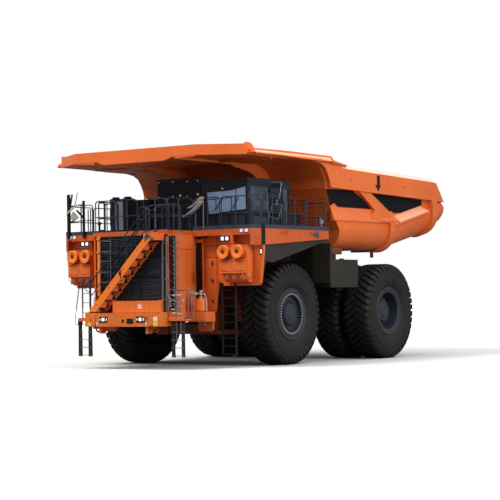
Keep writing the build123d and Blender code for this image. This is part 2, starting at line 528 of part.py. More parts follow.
# top rails, ledges, the slanted bands and the hoops
rib = []
for sx in (1, -1):
    g = []
    a, b = sx * WX, sx * RX
    # top rail: panel and its sloping cap
    g.append(poly_x([(-2540, 7160), (-2050, 7090), (-1750, 6960), (-1570, 6730), (-1450, 6510), (-1380, 6262), (7175, 6060), (6560, 6790), (-540, 6985), (-800, 7160)], a, b))
    g.append(poly_y([(a, 6940), (b, 6983), (sx * 4130, 7130), (a, 7130)], -560, 6380, -0.0265))
    # slanted band between the two dark panels
    g.append(poly_x([(510, 6300), (1320, 6280), (2980, 5370), (2980, 5200), (1400, 5200), (1790, 5560)], a, sx * (RX - 50)))
    # ledges: front (level) and rear (rising)
    g.append(poly_y([(a, 5590), (sx * 4215, 5140), (sx * 4215, 5090), (a, 5090)], -1150, 3300))
    g.append(poly_y([(a, 5390), (sx * 4285, 5190), (sx * 4285, 5120), (a, 5120)], 1480, 3500) & poly_z([(a, 1400), (sx * 4130, 1400), (sx * 4285, 2500), (sx * 4285, 3560), (a, 3560)], 5000, 5500))
    g.append(poly_y([(a, 5345), (sx * 4280, 5075), (sx * 4280, 4995), (a, 4995)], 3210, 6200, 0.215)
             & poly_z([(sx * 3900, 3000), (sx * 4300, 3000), (sx * 4300, 5890), (sx * 4060, 5540), (sx * 3900, 5540)], 4500, 6500))
    rib.append(fuse(g))
# hoops: (y0, y1, rise of the tub there)
for y0, y1, top, drop in ((2800, 3180, 5220, 72), (6150, 6580, 6150, 70)):
    rise = max(0.0, (y0 - TUB_KINK) * TUB_SLOPE)
    z0 = TUB_Z + rise - drop

    def hoop_sec(t, y):
        b, s, h = HB + 40 - t * 0.35, HS + 110 - t, HT + 70
        zb = z0 + t
        mx, mz = b + (s - b) * 0.79, zb + (h - t) * 0.32
        return b, s, zb, mx, mz, z0 + h

    b, s, zb, mx, mz, zh = hoop_sec(0, y0)
    bi, si, zbi, mxi, mzi, zhi = hoop_sec(135, y0)
    zt = top
    e = 2500
    for sx in (1, -1):
        arc_o = ThreePointArc((sx * b, y0, zb), (sx * mx, y0, mz), (sx * s, y0, zh))
        arc_i = ThreePointArc((sx * si, y0, zhi), (sx * mxi, y0, mzi), (sx * bi, y0, zbi))
        w = Wire([arc_o, Line((sx * s, y0, zh), (sx * s, y0, zt)), Line((sx * s, y0, zt), (sx * si, y0, zt)), Line((sx * si, y0, zt), (sx * si, y0, zhi)), arc_i,
                  Line((sx * bi, y0, zbi), (sx * e, y0, zbi)), Line((sx * e, y0, zbi), (sx * e, y0, zb)), Line((sx * e, y0, zb), (sx * b, y0, zb))])
        slope = TUB_SLOPE if y0 > TUB_KINK else 0.0
        hp = prism(make_face(w), y0, y1, slope)
        idx = 0 if sx > 0 else 1
        rib[idx] = rib[idx] + hp
        if top > 6000:
            rib[idx] = rib[idx] + bx(sx * WX, sx * (HS + 110), y0, y1, 5700, top)
rib = [(r - tub).solids().sort_by(SortBy.VOLUME)[-1] for r in rib]
save("bed_rails", rib)

# canopy: plate, front lip, side boards, stiffeners under it
CAN = [(2608, -7320), (4050, -6400), (4380, -6280), (4380, -2120), (4240, -1650), (3900, -1650)]
pts = CAN + [(-x, y) for x, y in reversed(CAN)]
can = poly_z(pts, 7160, 7225)
lip = poly_z([(2608, -7320), (4050, -6400), (4010, -6280), (2570, -7180), (-2570, -7180), (-4010, -6280), (-4050, -6400), (-2608, -7320)], 7165, 7515)
can = can + lip
# lip's deep middle
can = can + poly_y([(1310, 7050), (1670, 7160), (-1670, 7160), (-1310, 7050)], -7320, -7250)
for sx in (1, -1):
    # gusset behind the lip's end, and the raised strip along the side with its bevel
    can = can + poly_x([(-6400, 7170), (-6400, 7565), (-6110, 7555), (-5790, 7300), (-5790, 7170)], sx * 3990, sx * 4060)
    can = can + poly_y([(sx * 4040, 7165), (sx * 4380, 7165), (sx * 4380, 7190), (sx * 4290, 7310), (sx * 4040, 7330)], -6280, -1480)
    can = can - poly_x([(-7000, 7000), (-3600, 7000), (-3600, 7168), (-6280, 7215), (-7000, 7215)], sx * 4061, sx * 4500)
    can = can + poly_x([(-6300, 7200), (-6300, 7410), (-3500, 7440), (-820, 7430), (-560, 7160), (-700, 7100), (-2300, 7160)], sx * 3870, sx * 3950)
    can = can + bx(sx * 1650, sx * 1750, -7200, -3200, 7090, 7170)
    can = can + poly_x([(-4300, 7170), (-3820, 7010), (-3080, 6920), (-2640, 6800), (-2460, 6680), (-2270, 6510), (-2120, 6200), (-2050, 5900), (-1250, 5900), (-1380, 6260), (-1440, 6510), (-1570, 6730), (-1750, 6930), (-2050, 7075), (-2350, 7170)], sx * 1650, sx * 1750)
    # the strip runs on rearwards down on to the top rail
    can = can + (poly_z([(sx * 4050, -1500), (sx * 4380, -1500), (sx * 4380, -1300), (sx * 4262, -260), (sx * 4050, -260)], 6900, 7400)
                 & poly_x([(-1500, 7165), (-1500, 7270), (-1250, 7205), (-260, 7122), (-260, 7065), (-1250, 7125)], -4400, 4400))
can = can + bx(-3900, 3900, -4700, -4600, 7110, 7170)
# top deck between the side boards down to the bed's front wall
can = can + poly_x([(-2250, 7160), (-2250, 7225), (-1500, 7225), (-900, 7160)], -4060, 4060)
can = can - tub - rib[0] - rib[1]
save("bed_canopy", can.solids().sort_by(SortBy.VOLUME)[-1])

# ================================================================ hoists
ang = math.degrees(math.atan2(HOIST_UP[0] - HOIST_LO[0], HOIST_UP[1] - HOIST_LO[1]))
HL = math.hypot(HOIST_UP[0] - HOIST_LO[0], HOIST_UP[1] - HOIST_LO[1])
# stages: (name, outer radius, inner radius, from, to) along the cylinder from the lower pin
STAGES = [("hoist_barrel", 125, 103, 60, HL - 330), ("hoist_sleeve", 100, 78, 180, HL - 240), ("hoist_rod", 75, 0, 300, HL - 70)]
uy, uzz = (HOIST_UP[0] - HOIST_LO[0]) / HL, (HOIST_UP[1] - HOIST_LO[1]) / HL
for side, sx in (("left", 1), ("right", -1)):
    X = sx * HOIST_X

    def at(d):
        return (X, HOIST_LO[0] + uy * d, HOIST_LO[1] + uzz * d)
    for name, ro, ri, a, b in STAGES:
        s = rod(at(a), at(b), ro) if ri == 0 else pipe(at(a), at(b), ro, ri)
        if name == "hoist_barrel":
            s = s + rod(at(60), at(110), ro)
            s = s + (rod((X - 100, HOIST_LO[0], HOIST_LO[1]), (X + 60, HOIST_LO[0], HOIST_LO[1]), 110))
            s = s - rod((X - 120, HOIST_LO[0], HOIST_LO[1]), (X + 80, HOIST_LO[0], HOIST_LO[1]), 64)
        if name == "hoist_rod":
            s = s + rod((X - 100, HOIST_UP[0], HOIST_UP[1]), (X + 100, HOIST_UP[0], HOIST_UP[1]), 100)
            s = s + rod((X - 124, HOIST_UP[0], HOIST_UP[1]), (X + 124, HOIST_UP[0], HOIST_UP[1]), 45)
        save(f"{name}_{side}", s)
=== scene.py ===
import bpy
import math
from mathutils import Vector, Matrix


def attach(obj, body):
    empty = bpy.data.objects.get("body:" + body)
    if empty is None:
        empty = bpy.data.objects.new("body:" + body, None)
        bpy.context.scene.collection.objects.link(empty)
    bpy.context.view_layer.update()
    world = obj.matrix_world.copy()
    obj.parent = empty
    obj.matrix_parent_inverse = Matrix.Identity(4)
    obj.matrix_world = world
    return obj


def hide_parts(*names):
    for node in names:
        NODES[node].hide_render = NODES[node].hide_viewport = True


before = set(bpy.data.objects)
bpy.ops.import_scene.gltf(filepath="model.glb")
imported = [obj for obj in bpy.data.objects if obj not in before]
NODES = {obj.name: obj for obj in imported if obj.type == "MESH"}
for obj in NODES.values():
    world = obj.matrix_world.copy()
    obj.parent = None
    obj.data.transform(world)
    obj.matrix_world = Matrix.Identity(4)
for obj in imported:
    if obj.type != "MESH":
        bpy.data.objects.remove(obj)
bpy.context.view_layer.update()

# All places below are in metres with the front axle at y = -3.0; SY moves them to the frame's origin.
SY = 0.38
WR = 1.781            # wheel radius and axle height
AXF, AXR = -3.0, 2.82


# ------------------------------------------------------------------ materials
def mat(name):
    m = bpy.data.materials.new(name)
    m.use_nodes = True
    nt = m.node_tree
    return m, nt, nt.nodes["Principled BSDF"]


def coords(nt, scale=1.0, stretch=None):
    tc = nt.nodes.new("ShaderNodeTexCoord")
    mp = nt.nodes.new("ShaderNodeMapping")
    nt.links.new(tc.outputs["Object"], mp.inputs["Vector"])
    mp.inputs["Scale"].default_value = stretch if stretch else (scale, scale, scale)
    return mp.outputs["Vector"]


def noise(nt, vec, scale, detail=4.0, rough=0.6, dist=0.0):
    n = nt.nodes.new("ShaderNodeTexNoise")
    n.inputs["Scale"].default_value = scale
    n.inputs["Detail"].default_value = detail
    n.inputs["Roughness"].default_value = rough
    n.inputs["Distortion"].default_value = dist
    nt.links.new(vec, n.inputs["Vector"])
    return n.outputs["Fac"]


def ramp(nt, fac, stops):
    r = nt.nodes.new("ShaderNodeValToRGB")
    els = r.color_ramp.elements
    while len(els) < len(stops):
        els.new(0.5)
    for e, (p, c) in zip(els, stops):
        e.position = p
        e.color = (c[0], c[1], c[2], 1.0) if isinstance(c, (tuple, list)) else (c, c, c, 1.0)
    nt.links.new(fac, r.inputs["Fac"])
    return r.outputs["Color"]


def mix(nt, fac, a, b, mode="MIX"):
    n = nt.nodes.new("ShaderNodeMix")
    n.data_type = "RGBA"
    n.blend_type = mode
    for key, val in ((0, fac), (6, a), (7, b)):
        if isinstance(val, (int, float)):
            n.inputs[key].default_value = val
        elif isinstance(val, (tuple, list)):
            n.inputs[key].default_value = (val[0], val[1], val[2], 1.0)
        else:
            nt.links.new(val, n.inputs[key])
    return n.outputs[2]


def math_node(nt, op, a, b=None):
    n = nt.nodes.new("ShaderNodeMath")
    n.operation = op
    n.use_clamp = op in ("MULTIPLY_ADD",)
    for i, v in enumerate((a, b)):
        if v is None:
            continue
        if isinstance(v, (int, float)):
            n.inputs[i].default_value = v
        else:
            nt.links.new(v, n.inputs[i])
    return n.outputs[0]


def remap(nt, v, a, b, c, d):
    n = nt.nodes.new("ShaderNodeMapRange")
    nt.links.new(v, n.inputs["Value"])
    n.inputs["From Min"].default_value = a
    n.inputs["From Max"].default_value = b
    n.inputs["To Min"].default_value = c
    n.inputs["To Max"].default_value = d
    return n.outputs["Result"]


def add_bump(nt, bsdf, layers):
    """layers: (height, strength, distance)"""
    prev = None
    for h, s, d in layers:
        b = nt.nodes.new("ShaderNodeBump")
        b.inputs["Strength"].default_value = s
        b.inputs["Distance"].default_value = d
        nt.links.new(h, b.inputs["Height"])
        if prev is not None:
            nt.links.new(prev, b.inputs["Normal"])
        prev = b.outputs["Normal"]
    nt.links.new(prev, bsdf.inputs["Normal"])


def up_facing(nt, lo=0.55, hi=0.95):
    g = nt.nodes.new("ShaderNodeNewGeometry")
    s = nt.nodes.new("ShaderNodeSeparateXYZ")
    nt.links.new(g.outputs["Normal"], s.inputs[0])
    return remap(nt, s.outputs["Z"], lo, hi, 0.0, 1.0)


def height(nt):
    tc = nt.nodes.new("ShaderNodeTexCoord")
    s = nt.nodes.new("ShaderNodeSeparateXYZ")
    nt.links.new(tc.outputs["Object"], s.inputs[0])
    return s.outputs["Z"]


def paint(name, col, dark=None, rough=0.38, coat=0.06, up_pale=0.45, up_pale_col=(0.72, 0.40, 0.27), wave=0.25, low_dark=0.35, chips=True, spec=0.32, shade_band=None):
    """sprayed steel plate: slow colour drift, waviness, orange peel, paler on faces that look up, darker towards the
    bottom, small chips, and an optional band of painted shade below a given height
    """
    m, nt, b = mat(name)
    v = coords(nt)
    slow = noise(nt, v, 0.55, 3.0, 0.55)
    mid = noise(nt, v, 5.0, 6.0, 0.68)
    fine = noise(nt, v, 46.0, 5.0, 0.7)
    dk = dark if dark else tuple(c * 0.80 for c in col)
    c = mix(nt, remap(nt, slow, 0.3, 0.7, 0.0, 1.0), dk, col)
    c = mix(nt, remap(nt, mid, 0.35, 0.75, 0.0, 0.22), c, tuple(x * 0.72 for x in col))
    if chips:
        ch = ramp(nt, noise(nt, v, 21.0, 7.0, 0.78), [(0.0, 0.0), (0.735, 0.0), (0.76, 1.0), (1.0, 1.0)])
        c = mix(nt, math_node(nt, "MULTIPLY", ch, 0.45), c, (0.10, 0.05, 0.035))
    # faces that look up turn paler, and the colour darkens towards the bottom
    up = math_node(nt, "MULTIPLY", up_facing(nt), remap(nt, mid, 0.3, 0.7, 0.3, 1.0))
    c = mix(nt, math_node(nt, "MULTIPLY", up, up_pale), c, up_pale_col)
    low = math_node(nt, "MULTIPLY", remap(nt, height(nt), 0.3, 2.4, 1.0, 0.0), remap(nt, mid, 0.32, 0.68, 0.1, 1.0))
    c = mix(nt, math_node(nt, "MULTIPLY", low, low_dark), c, (0.16, 0.10, 0.07))
    # painted shade: below the given height the colour is pulled towards dark brown, standing in for the shadow on the
    # underside
    if shade_band:
        z0, z1, shade_col, amount = shade_band
        c = mix(nt, math_node(nt, "MULTIPLY", remap(nt, height(nt), z0, z1, 1.0, 0.0), amount), c, shade_col)
    nt.links.new(c, b.inputs["Base Color"])
    r = remap(nt, mid, 0.3, 0.75, rough - 0.07, rough + 0.12)
    r = math_node(nt, "ADD", r, math_node(nt, "MULTIPLY", low, 0.25))
    nt.links.new(r, b.inputs["Roughness"])
    b.inputs["Specular IOR Level"].default_value = spec
    b.inputs["Coat Weight"].default_value = coat
    b.inputs["Coat Roughness"].default_value = 0.18
    add_bump(nt, b, [(slow, wave, 0.02), (mid, 0.10, 0.006), (fine, 0.10, 0.0012)])
    return m


ORANGE = (0.80, 0.172, 0.038)
ORANGE_D = (0.70, 0.135, 0.026)
M_ORANGE = paint("orange_paint", ORANGE, ORANGE_D)
# the tub's paint is darkened below z 4.06 to 4.16 as painted shade on the shadowed underside
M_BED = paint("bed_orange_paint", ORANGE, ORANGE_D, shade_band=(4.06, 4.16, (0.055, 0.024, 0.014), 0.85))
M_BUMPER = paint("bumper_paint", (0.84, 0.200, 0.030), (0.76, 0.165, 0.024))
# painted shade: a darker copy of the orange paint, for orange parts that sit in shade
M_ORANGE_PAINTED_SHADE = paint("orange_painted_shade", (0.58, 0.085, 0.016), (0.46, 0.062, 0.012), rough=0.42)
# painted highlight: a brighter copy of the orange paint, for orange parts that face the light
M_ORANGE_PAINTED_LIT = paint("orange_painted_highlight", (0.92, 0.235, 0.030), (0.86, 0.19, 0.024), rough=0.30, up_pale=0.1, low_dark=0.1)
# painted shade: the frame's orange is laid down as a dark red-orange, for parts seen in shade under the truck
M_FRAME = paint("frame_paint", (0.34, 0.055, 0.014), (0.22, 0.036, 0.012), rough=0.5, coat=0.05, low_dark=0.7, up_pale=0.4)
M_TANK = paint("tank_paint", (0.036, 0.036, 0.029), (0.026, 0.026, 0.021), rough=0.52, coat=0.0, up_pale=0.25, wave=0.5, up_pale_col=(0.12, 0.105, 0.08), spec=0.22)
M_SUPPORT = paint("support_paint", (0.036, 0.034, 0.030), (0.027, 0.0255, 0.0225), rough=0.52, coat=0.0, up_pale=0.25, wave=0.3, up_pale_col=(0.14, 0.12, 0.09), spec=0.22)
M_CABINET = paint("cabinet_paint", (0.030, 0.029, 0.034), (0.023, 0.0225, 0.027), rough=0.42, coat=0.03, up_pale=0.12, up_pale_col=(0.06, 0.06, 0.062), spec=0.25)
M_SLATE = paint("slate_paint", (0.036, 0.047, 0.068), (0.026, 0.033, 0.050), rough=0.40, coat=0.05, up_pale=0.2, up_pale_col=(0.10, 0.10, 0.11), spec=0.3)
M_BLACK = paint("black_paint", (0.0075, 0.0085, 0.0125), (0.005, 0.0055, 0.0085), rough=0.42, coat=0.04, up_pale=0.12, up_pale_col=(0.05, 0.05, 0.052), spec=0.22)
M_CAB = paint("cab_paint", (0.013, 0.016, 0.026), (0.009, 0.011, 0.019), rough=0.36, coat=0.05, up_pale=0.12, up_pale_col=(0.06, 0.06, 0.065), spec=0.3)
M_CYL = paint("cylinder_paint", (0.030, 0.030, 0.034), (0.020, 0.020, 0.023), rough=0.46, coat=0.02, up_pale_col=(0.10, 0.09, 0.08), spec=0.28)


def plain(name, col, rough, metal=0.0, scale=30.0, vary=0.25, bump=0.15, dist=0.002, coat=0.0, emit=0.0, spec=0.5):
    m, nt, b = mat(name)
    v = coords(nt)
    n1 = noise(nt, v, scale, 5.0, 0.65)
    n2 = noise(nt, v, scale * 0.12, 3.0, 0.6)
    c = mix(nt, remap(nt, n1, 0.3, 0.7, 0.0, 1.0), tuple(x * (1 - vary) for x in col), col)
    c = mix(nt, remap(nt, n2, 0.3, 0.7, 0.0, vary), c, tuple(min(1.0, x * 0.7) for x in col))
    nt.links.new(c, b.inputs["Base Color"])
    nt.links.new(remap(nt, n1, 0.25, 0.75, max(0.02, rough - 0.08), rough + 0.08), b.inputs["Roughness"])
    b.inputs["Metallic"].default_value = metal
    b.inputs["Coat Weight"].default_value = coat
    b.inputs["Specular IOR Level"].default_value = spec
    if emit:
        b.inputs["Emission Color"].default_value = (col[0], col[1], col[2], 1)
        b.inputs["Emission Strength"].default_value = emit
    add_bump(nt, b, [(n1, bump, dist)])
    return m


M_CHROME = plain("hard_chrome", (0.72, 0.73, 0.76), 0.12, 1.0, 60.0, 0.05, 0.04, 0.0005)
M_STEEL = plain("galvanised_tube", (0.17, 0.18, 0.20), 0.42, 0.55, 40.0, 0.25, 0.1, 0.0008)
M_STEEL_D = plain("dark_tube", (0.026, 0.033, 0.052), 0.42, 0.2, 40.0, 0.25, 0.1, 0.0008, coat=0.05, spec=0.35)
M_PALE = plain("pale_fitting", (0.62, 0.62, 0.60), 0.35, 0.2, 40.0, 0.15, 0.1, 0.001)
M_NUT = plain("bare_nut", (0.66, 0.66, 0.68), 0.3, 0.75, 60.0, 0.2, 0.1, 0.0008)
M_IRON = plain("cast_iron", (0.045, 0.042, 0.040), 0.62, 0.4, 24.0, 0.35, 0.5, 0.004)
M_RUBBER = plain("moulded_rubber", (0.016, 0.016, 0.017), 0.62, 0.0, 50.0, 0.3, 0.2, 0.0015)
M_LIP = plain("brown_ring", (0.060, 0.052, 0.046), 0.5, 0.3, 18.0, 0.35, 0.2, 0.002)
M_LENS = plain("lamp_lens", (0.86, 0.90, 0.98), 0.12, 0.0, 90.0, 0.06, 0.3, 0.002, coat=0.6, emit=0.45)
M_LENS_B = plain("lamp_lens_blue", (0.55, 0.74, 0.92), 0.12, 0.0, 90.0, 0.08, 0.3, 0.002, coat=0.6, emit=0.35)
M_AMBER = plain("amber_lens", (0.86, 0.33, 0.02), 0.2, 0.0, 90.0, 0.1, 0.3, 0.002, coat=0.5, emit=0.25)
M_RED = plain("red_lens", (0.50, 0.02, 0.015), 0.2, 0.0, 90.0, 0.1, 0.3, 0.002, coat=0.5)
M_YEL = plain("yellow_plate", (0.90, 0.62, 0.04), 0.4, 0.0, 30.0, 0.08, 0.1, 0.001)
M_CREAM = plain("cream_glass", (0.46, 0.42, 0.32), 0.35, 0.2, 30.0, 0.10, 0.1, 0.001)
M_WHITE = plain("white_plate", (0.80, 0.80, 0.78), 0.4, 0.0, 30.0, 0.06, 0.1, 0.001)
# painted shade: dark red for the blower openings, standing in for the shadow inside them
M_BLOWER_EYE_SHADE = plain("blower_eye_painted_shade", (0.16, 0.018, 0.008), 0.5, 0.0, 30.0, 0.3, 0.2, 0.002)
M_CORE = plain("radiator_core", (0.013, 0.015, 0.022), 0.5, 0.3, 120.0, 0.35, 0.5, 0.003)
M_SEAT = plain("seat_cloth", (0.030, 0.032, 0.038), 0.85, 0.0, 220.0, 0.4, 0.5, 0.0015)
M_DASH = plain("dash_plastic", (0.035, 0.035, 0.038), 0.55, 0.0, 160.0, 0.25, 0.4, 0.0008)
M_GROOVE = plain("seam_black", (0.012, 0.010, 0.010), 0.7, 0.0, 30.0, 0.3, 0.1, 0.001)
# painted shade: dim brown-black for the ladder that stands in shadow
M_LADDER_SHADE = plain("ladder_painted_shade_brown", (0.020, 0.0145, 0.009), 0.6, 0.1, 40.0, 0.25, 0.1, 0.0008, spec=0.2)
M_PANEL = paint("blank_dark_panel", (0.0055, 0.0065, 0.0075), (0.004, 0.0045, 0.0055), rough=0.55, coat=0.0, up_pale=0.03, up_pale_col=(0.03, 0.03, 0.03), chips=False, spec=0.12)
# painted highlight: pale copies of the orange for faces that catch the light
M_LEDGE_HIGHLIGHT = paint("ledge_painted_highlight", (0.95, 0.42, 0.25), (0.92, 0.36, 0.20), rough=0.5, coat=0.0, up_pale=0.3, up_pale_col=(0.90, 0.66, 0.54), chips=False)
M_RAIL_CAP_HIGHLIGHT = paint("rail_cap_painted_highlight", (0.91, 0.57, 0.45), (0.88, 0.50, 0.38), rough=0.5, coat=0.0, up_pale=0.3, up_pale_col=(0.90, 0.78, 0.72), chips=False)


def rim_paint():
    m, nt, b = mat("rim_paint")
    v = coords(nt)
    n1 = noise(nt, v, 7.0, 6.0, 0.7)
    n2 = noise(nt, v, 60.0, 4.0, 0.6)
    c = mix(nt, remap(nt, n1, 0.3, 0.7, 0.0, 1.0), (0.020, 0.024, 0.034), (0.036, 0.044, 0.062))
    c = mix(nt, ramp(nt, noise(nt, v, 17.0, 7.0, 0.8), [(0.0, 0.0), (0.62, 0.0), (0.70, 0.5), (1.0, 0.7)]), c, (0.085, 0.070, 0.055))
    nt.links.new(c, b.inputs["Base Color"])
    nt.links.new(remap(nt, n1, 0.3, 0.7, 0.3, 0.5), b.inputs["Roughness"])
    b.inputs["Metallic"].default_value = 0.25
    add_bump(nt, b, [(n1, 0.2, 0.004), (n2, 0.15, 0.001)])
    return m


def tyre_rubber():
    m, nt, b = mat("tyre_rubber")
    v = coords(nt)
    n1 = noise(nt, v, 3.2, 6.0, 0.7)
    n2 = noise(nt, v, 70.0, 5.0, 0.7)
    c = mix(nt, remap(nt, n1, 0.3, 0.7, 0.0, 1.0), (0.0125, 0.0120, 0.0124), (0.0230, 0.0216, 0.0210))
    c = mix(nt, ramp(nt, noise(nt, v, 11.0, 8.0, 0.8), [(0.0, 0.0), (0.60, 0.0), (0.74, 0.30), (1.0, 0.45)]), c, (0.032, 0.028, 0.024))
    nt.links.new(c, b.inputs["Base Color"])
    nt.links.new(remap(nt, n1, 0.25, 0.75, 0.58, 0.78), b.inputs["Roughness"])
    b.inputs["Specular IOR Level"].default_value = 0.24
    add_bump(nt, b, [(n1, 0.25, 0.01), (n2, 0.25, 0.0015)])
    return m


def glass(name, col, trans, rough=0.04):
    m, nt, b = mat(name)
    v = coords(nt)
    n1 = noise(nt, v, 2.4, 4.0, 0.6)
    c = mix(nt, remap(nt, n1, 0.3, 0.7, 0.0, 1.0), tuple(x * 0.86 for x in col), col)
    nt.links.new(c, b.inputs["Base Color"])
    b.inputs["Roughness"].default_value = rough
    b.inputs["Transmission Weight"].default_value = trans
    b.inputs["IOR"].default_value = 1.45
    b.inputs["Coat Weight"].default_value = 0.5
    b.inputs["Coat Roughness"].default_value = 0.03
    add_bump(nt, b, [(n1, 0.03, 0.004)])
    return m


def mirror_glass():
    m, nt, b = mat("mirror_glass")
    v = coords(nt)
    n1 = noise(nt, v, 6.0, 5.0, 0.6)
    c = mix(nt, remap(nt, n1, 0.3, 0.7, 0.0, 1.0), (0.30, 0.33, 0.38), (0.42, 0.45, 0.50))
    nt.links.new(c, b.inputs["Base Color"])
    b.inputs["Metallic"].default_value = 1.0
    b.inputs["Roughness"].default_value = 0.08
    add_bump(nt, b, [(n1, 0.04, 0.004)])
    return m


def deck_paint():
    """orange sides in a darker orange than the body as painted shade, slate kick plates above the deck line, dark
    tread plate on top
    """
    m, nt, b = mat("deck_paint")
    v = coords(nt)
    z = height(nt)
    slow = noise(nt, v, 0.55, 3.0, 0.55)
    mid = noise(nt, v, 5.0, 6.0, 0.68)
    fine = noise(nt, v, 46.0, 5.0, 0.7)
    # painted shade: the sides' orange is darker than the body orange, for the shade under the canopy
    c = mix(nt, remap(nt, slow, 0.3, 0.7, 0.0, 1.0), (0.48, 0.092, 0.022), (0.58, 0.115, 0.028))
    c = mix(nt, remap(nt, mid, 0.35, 0.75, 0.0, 0.22), c, (0.42, 0.085, 0.022))
    # tread plate: raised diamonds on what looks up
    vo = nt.nodes.new("ShaderNodeTexVoronoi")
    vo.inputs["Scale"].default_value = 14.0
    nt.links.new(coords(nt, stretch=(1.0, 1.8, 1.0)), vo.inputs["Vector"])
    dia = ramp(nt, vo.outputs["Distance"], [(0.0, 1.0), (0.32, 1.0), (0.42, 0.0), (1.0, 0.0)])
    tread = mix(nt, dia, (0.020, 0.022, 0.027), (0.060, 0.062, 0.066))
    tread = mix(nt, remap(nt, mid, 0.3, 0.7, 0.0, 0.5), tread, (0.10, 0.085, 0.07))
    c = mix(nt, up_facing(nt, 0.9, 0.95), c, tread)
    kick = remap(nt, z, 4.694, 4.698, 0.0, 1.0)
    slate = mix(nt, remap(nt, mid, 0.3, 0.7, 0.0, 1.0), (0.026, 0.034, 0.052), (0.045, 0.058, 0.085))
    c = mix(nt, kick, c, slate)
    nt.links.new(c, b.inputs["Base Color"])
    nt.links.new(remap(nt, mid, 0.3, 0.75, 0.30, 0.46), b.inputs["Roughness"])
    b.inputs["Specular IOR Level"].default_value = 0.3
    b.inputs["Coat Weight"].default_value = 0.05
    b.inputs["Coat Roughness"].default_value = 0.18
    add_bump(nt, b, [(slow, 0.25, 0.02), (mid, 0.10, 0.006), (fine, 0.10, 0.0012),
                     (math_node(nt, "MULTIPLY", dia, up_facing(nt, 0.9, 0.95)), 0.6, 0.004)])
    return m


M_RIM = rim_paint()
M_TYRE = tyre_rubber()
M_GLASS = glass("tinted_glass", (0.10, 0.14, 0.20), 0.55)
# painted reflection: the windscreen's base colour is a pale sky blue with little transmission, standing in for the sky
# it reflects
M_SCREEN = glass("windscreen_painted_sky_reflection", (0.45, 0.68, 1.0), 0.10, 0.10)
M_MIRROR = mirror_glass()
M_DECK = deck_paint()


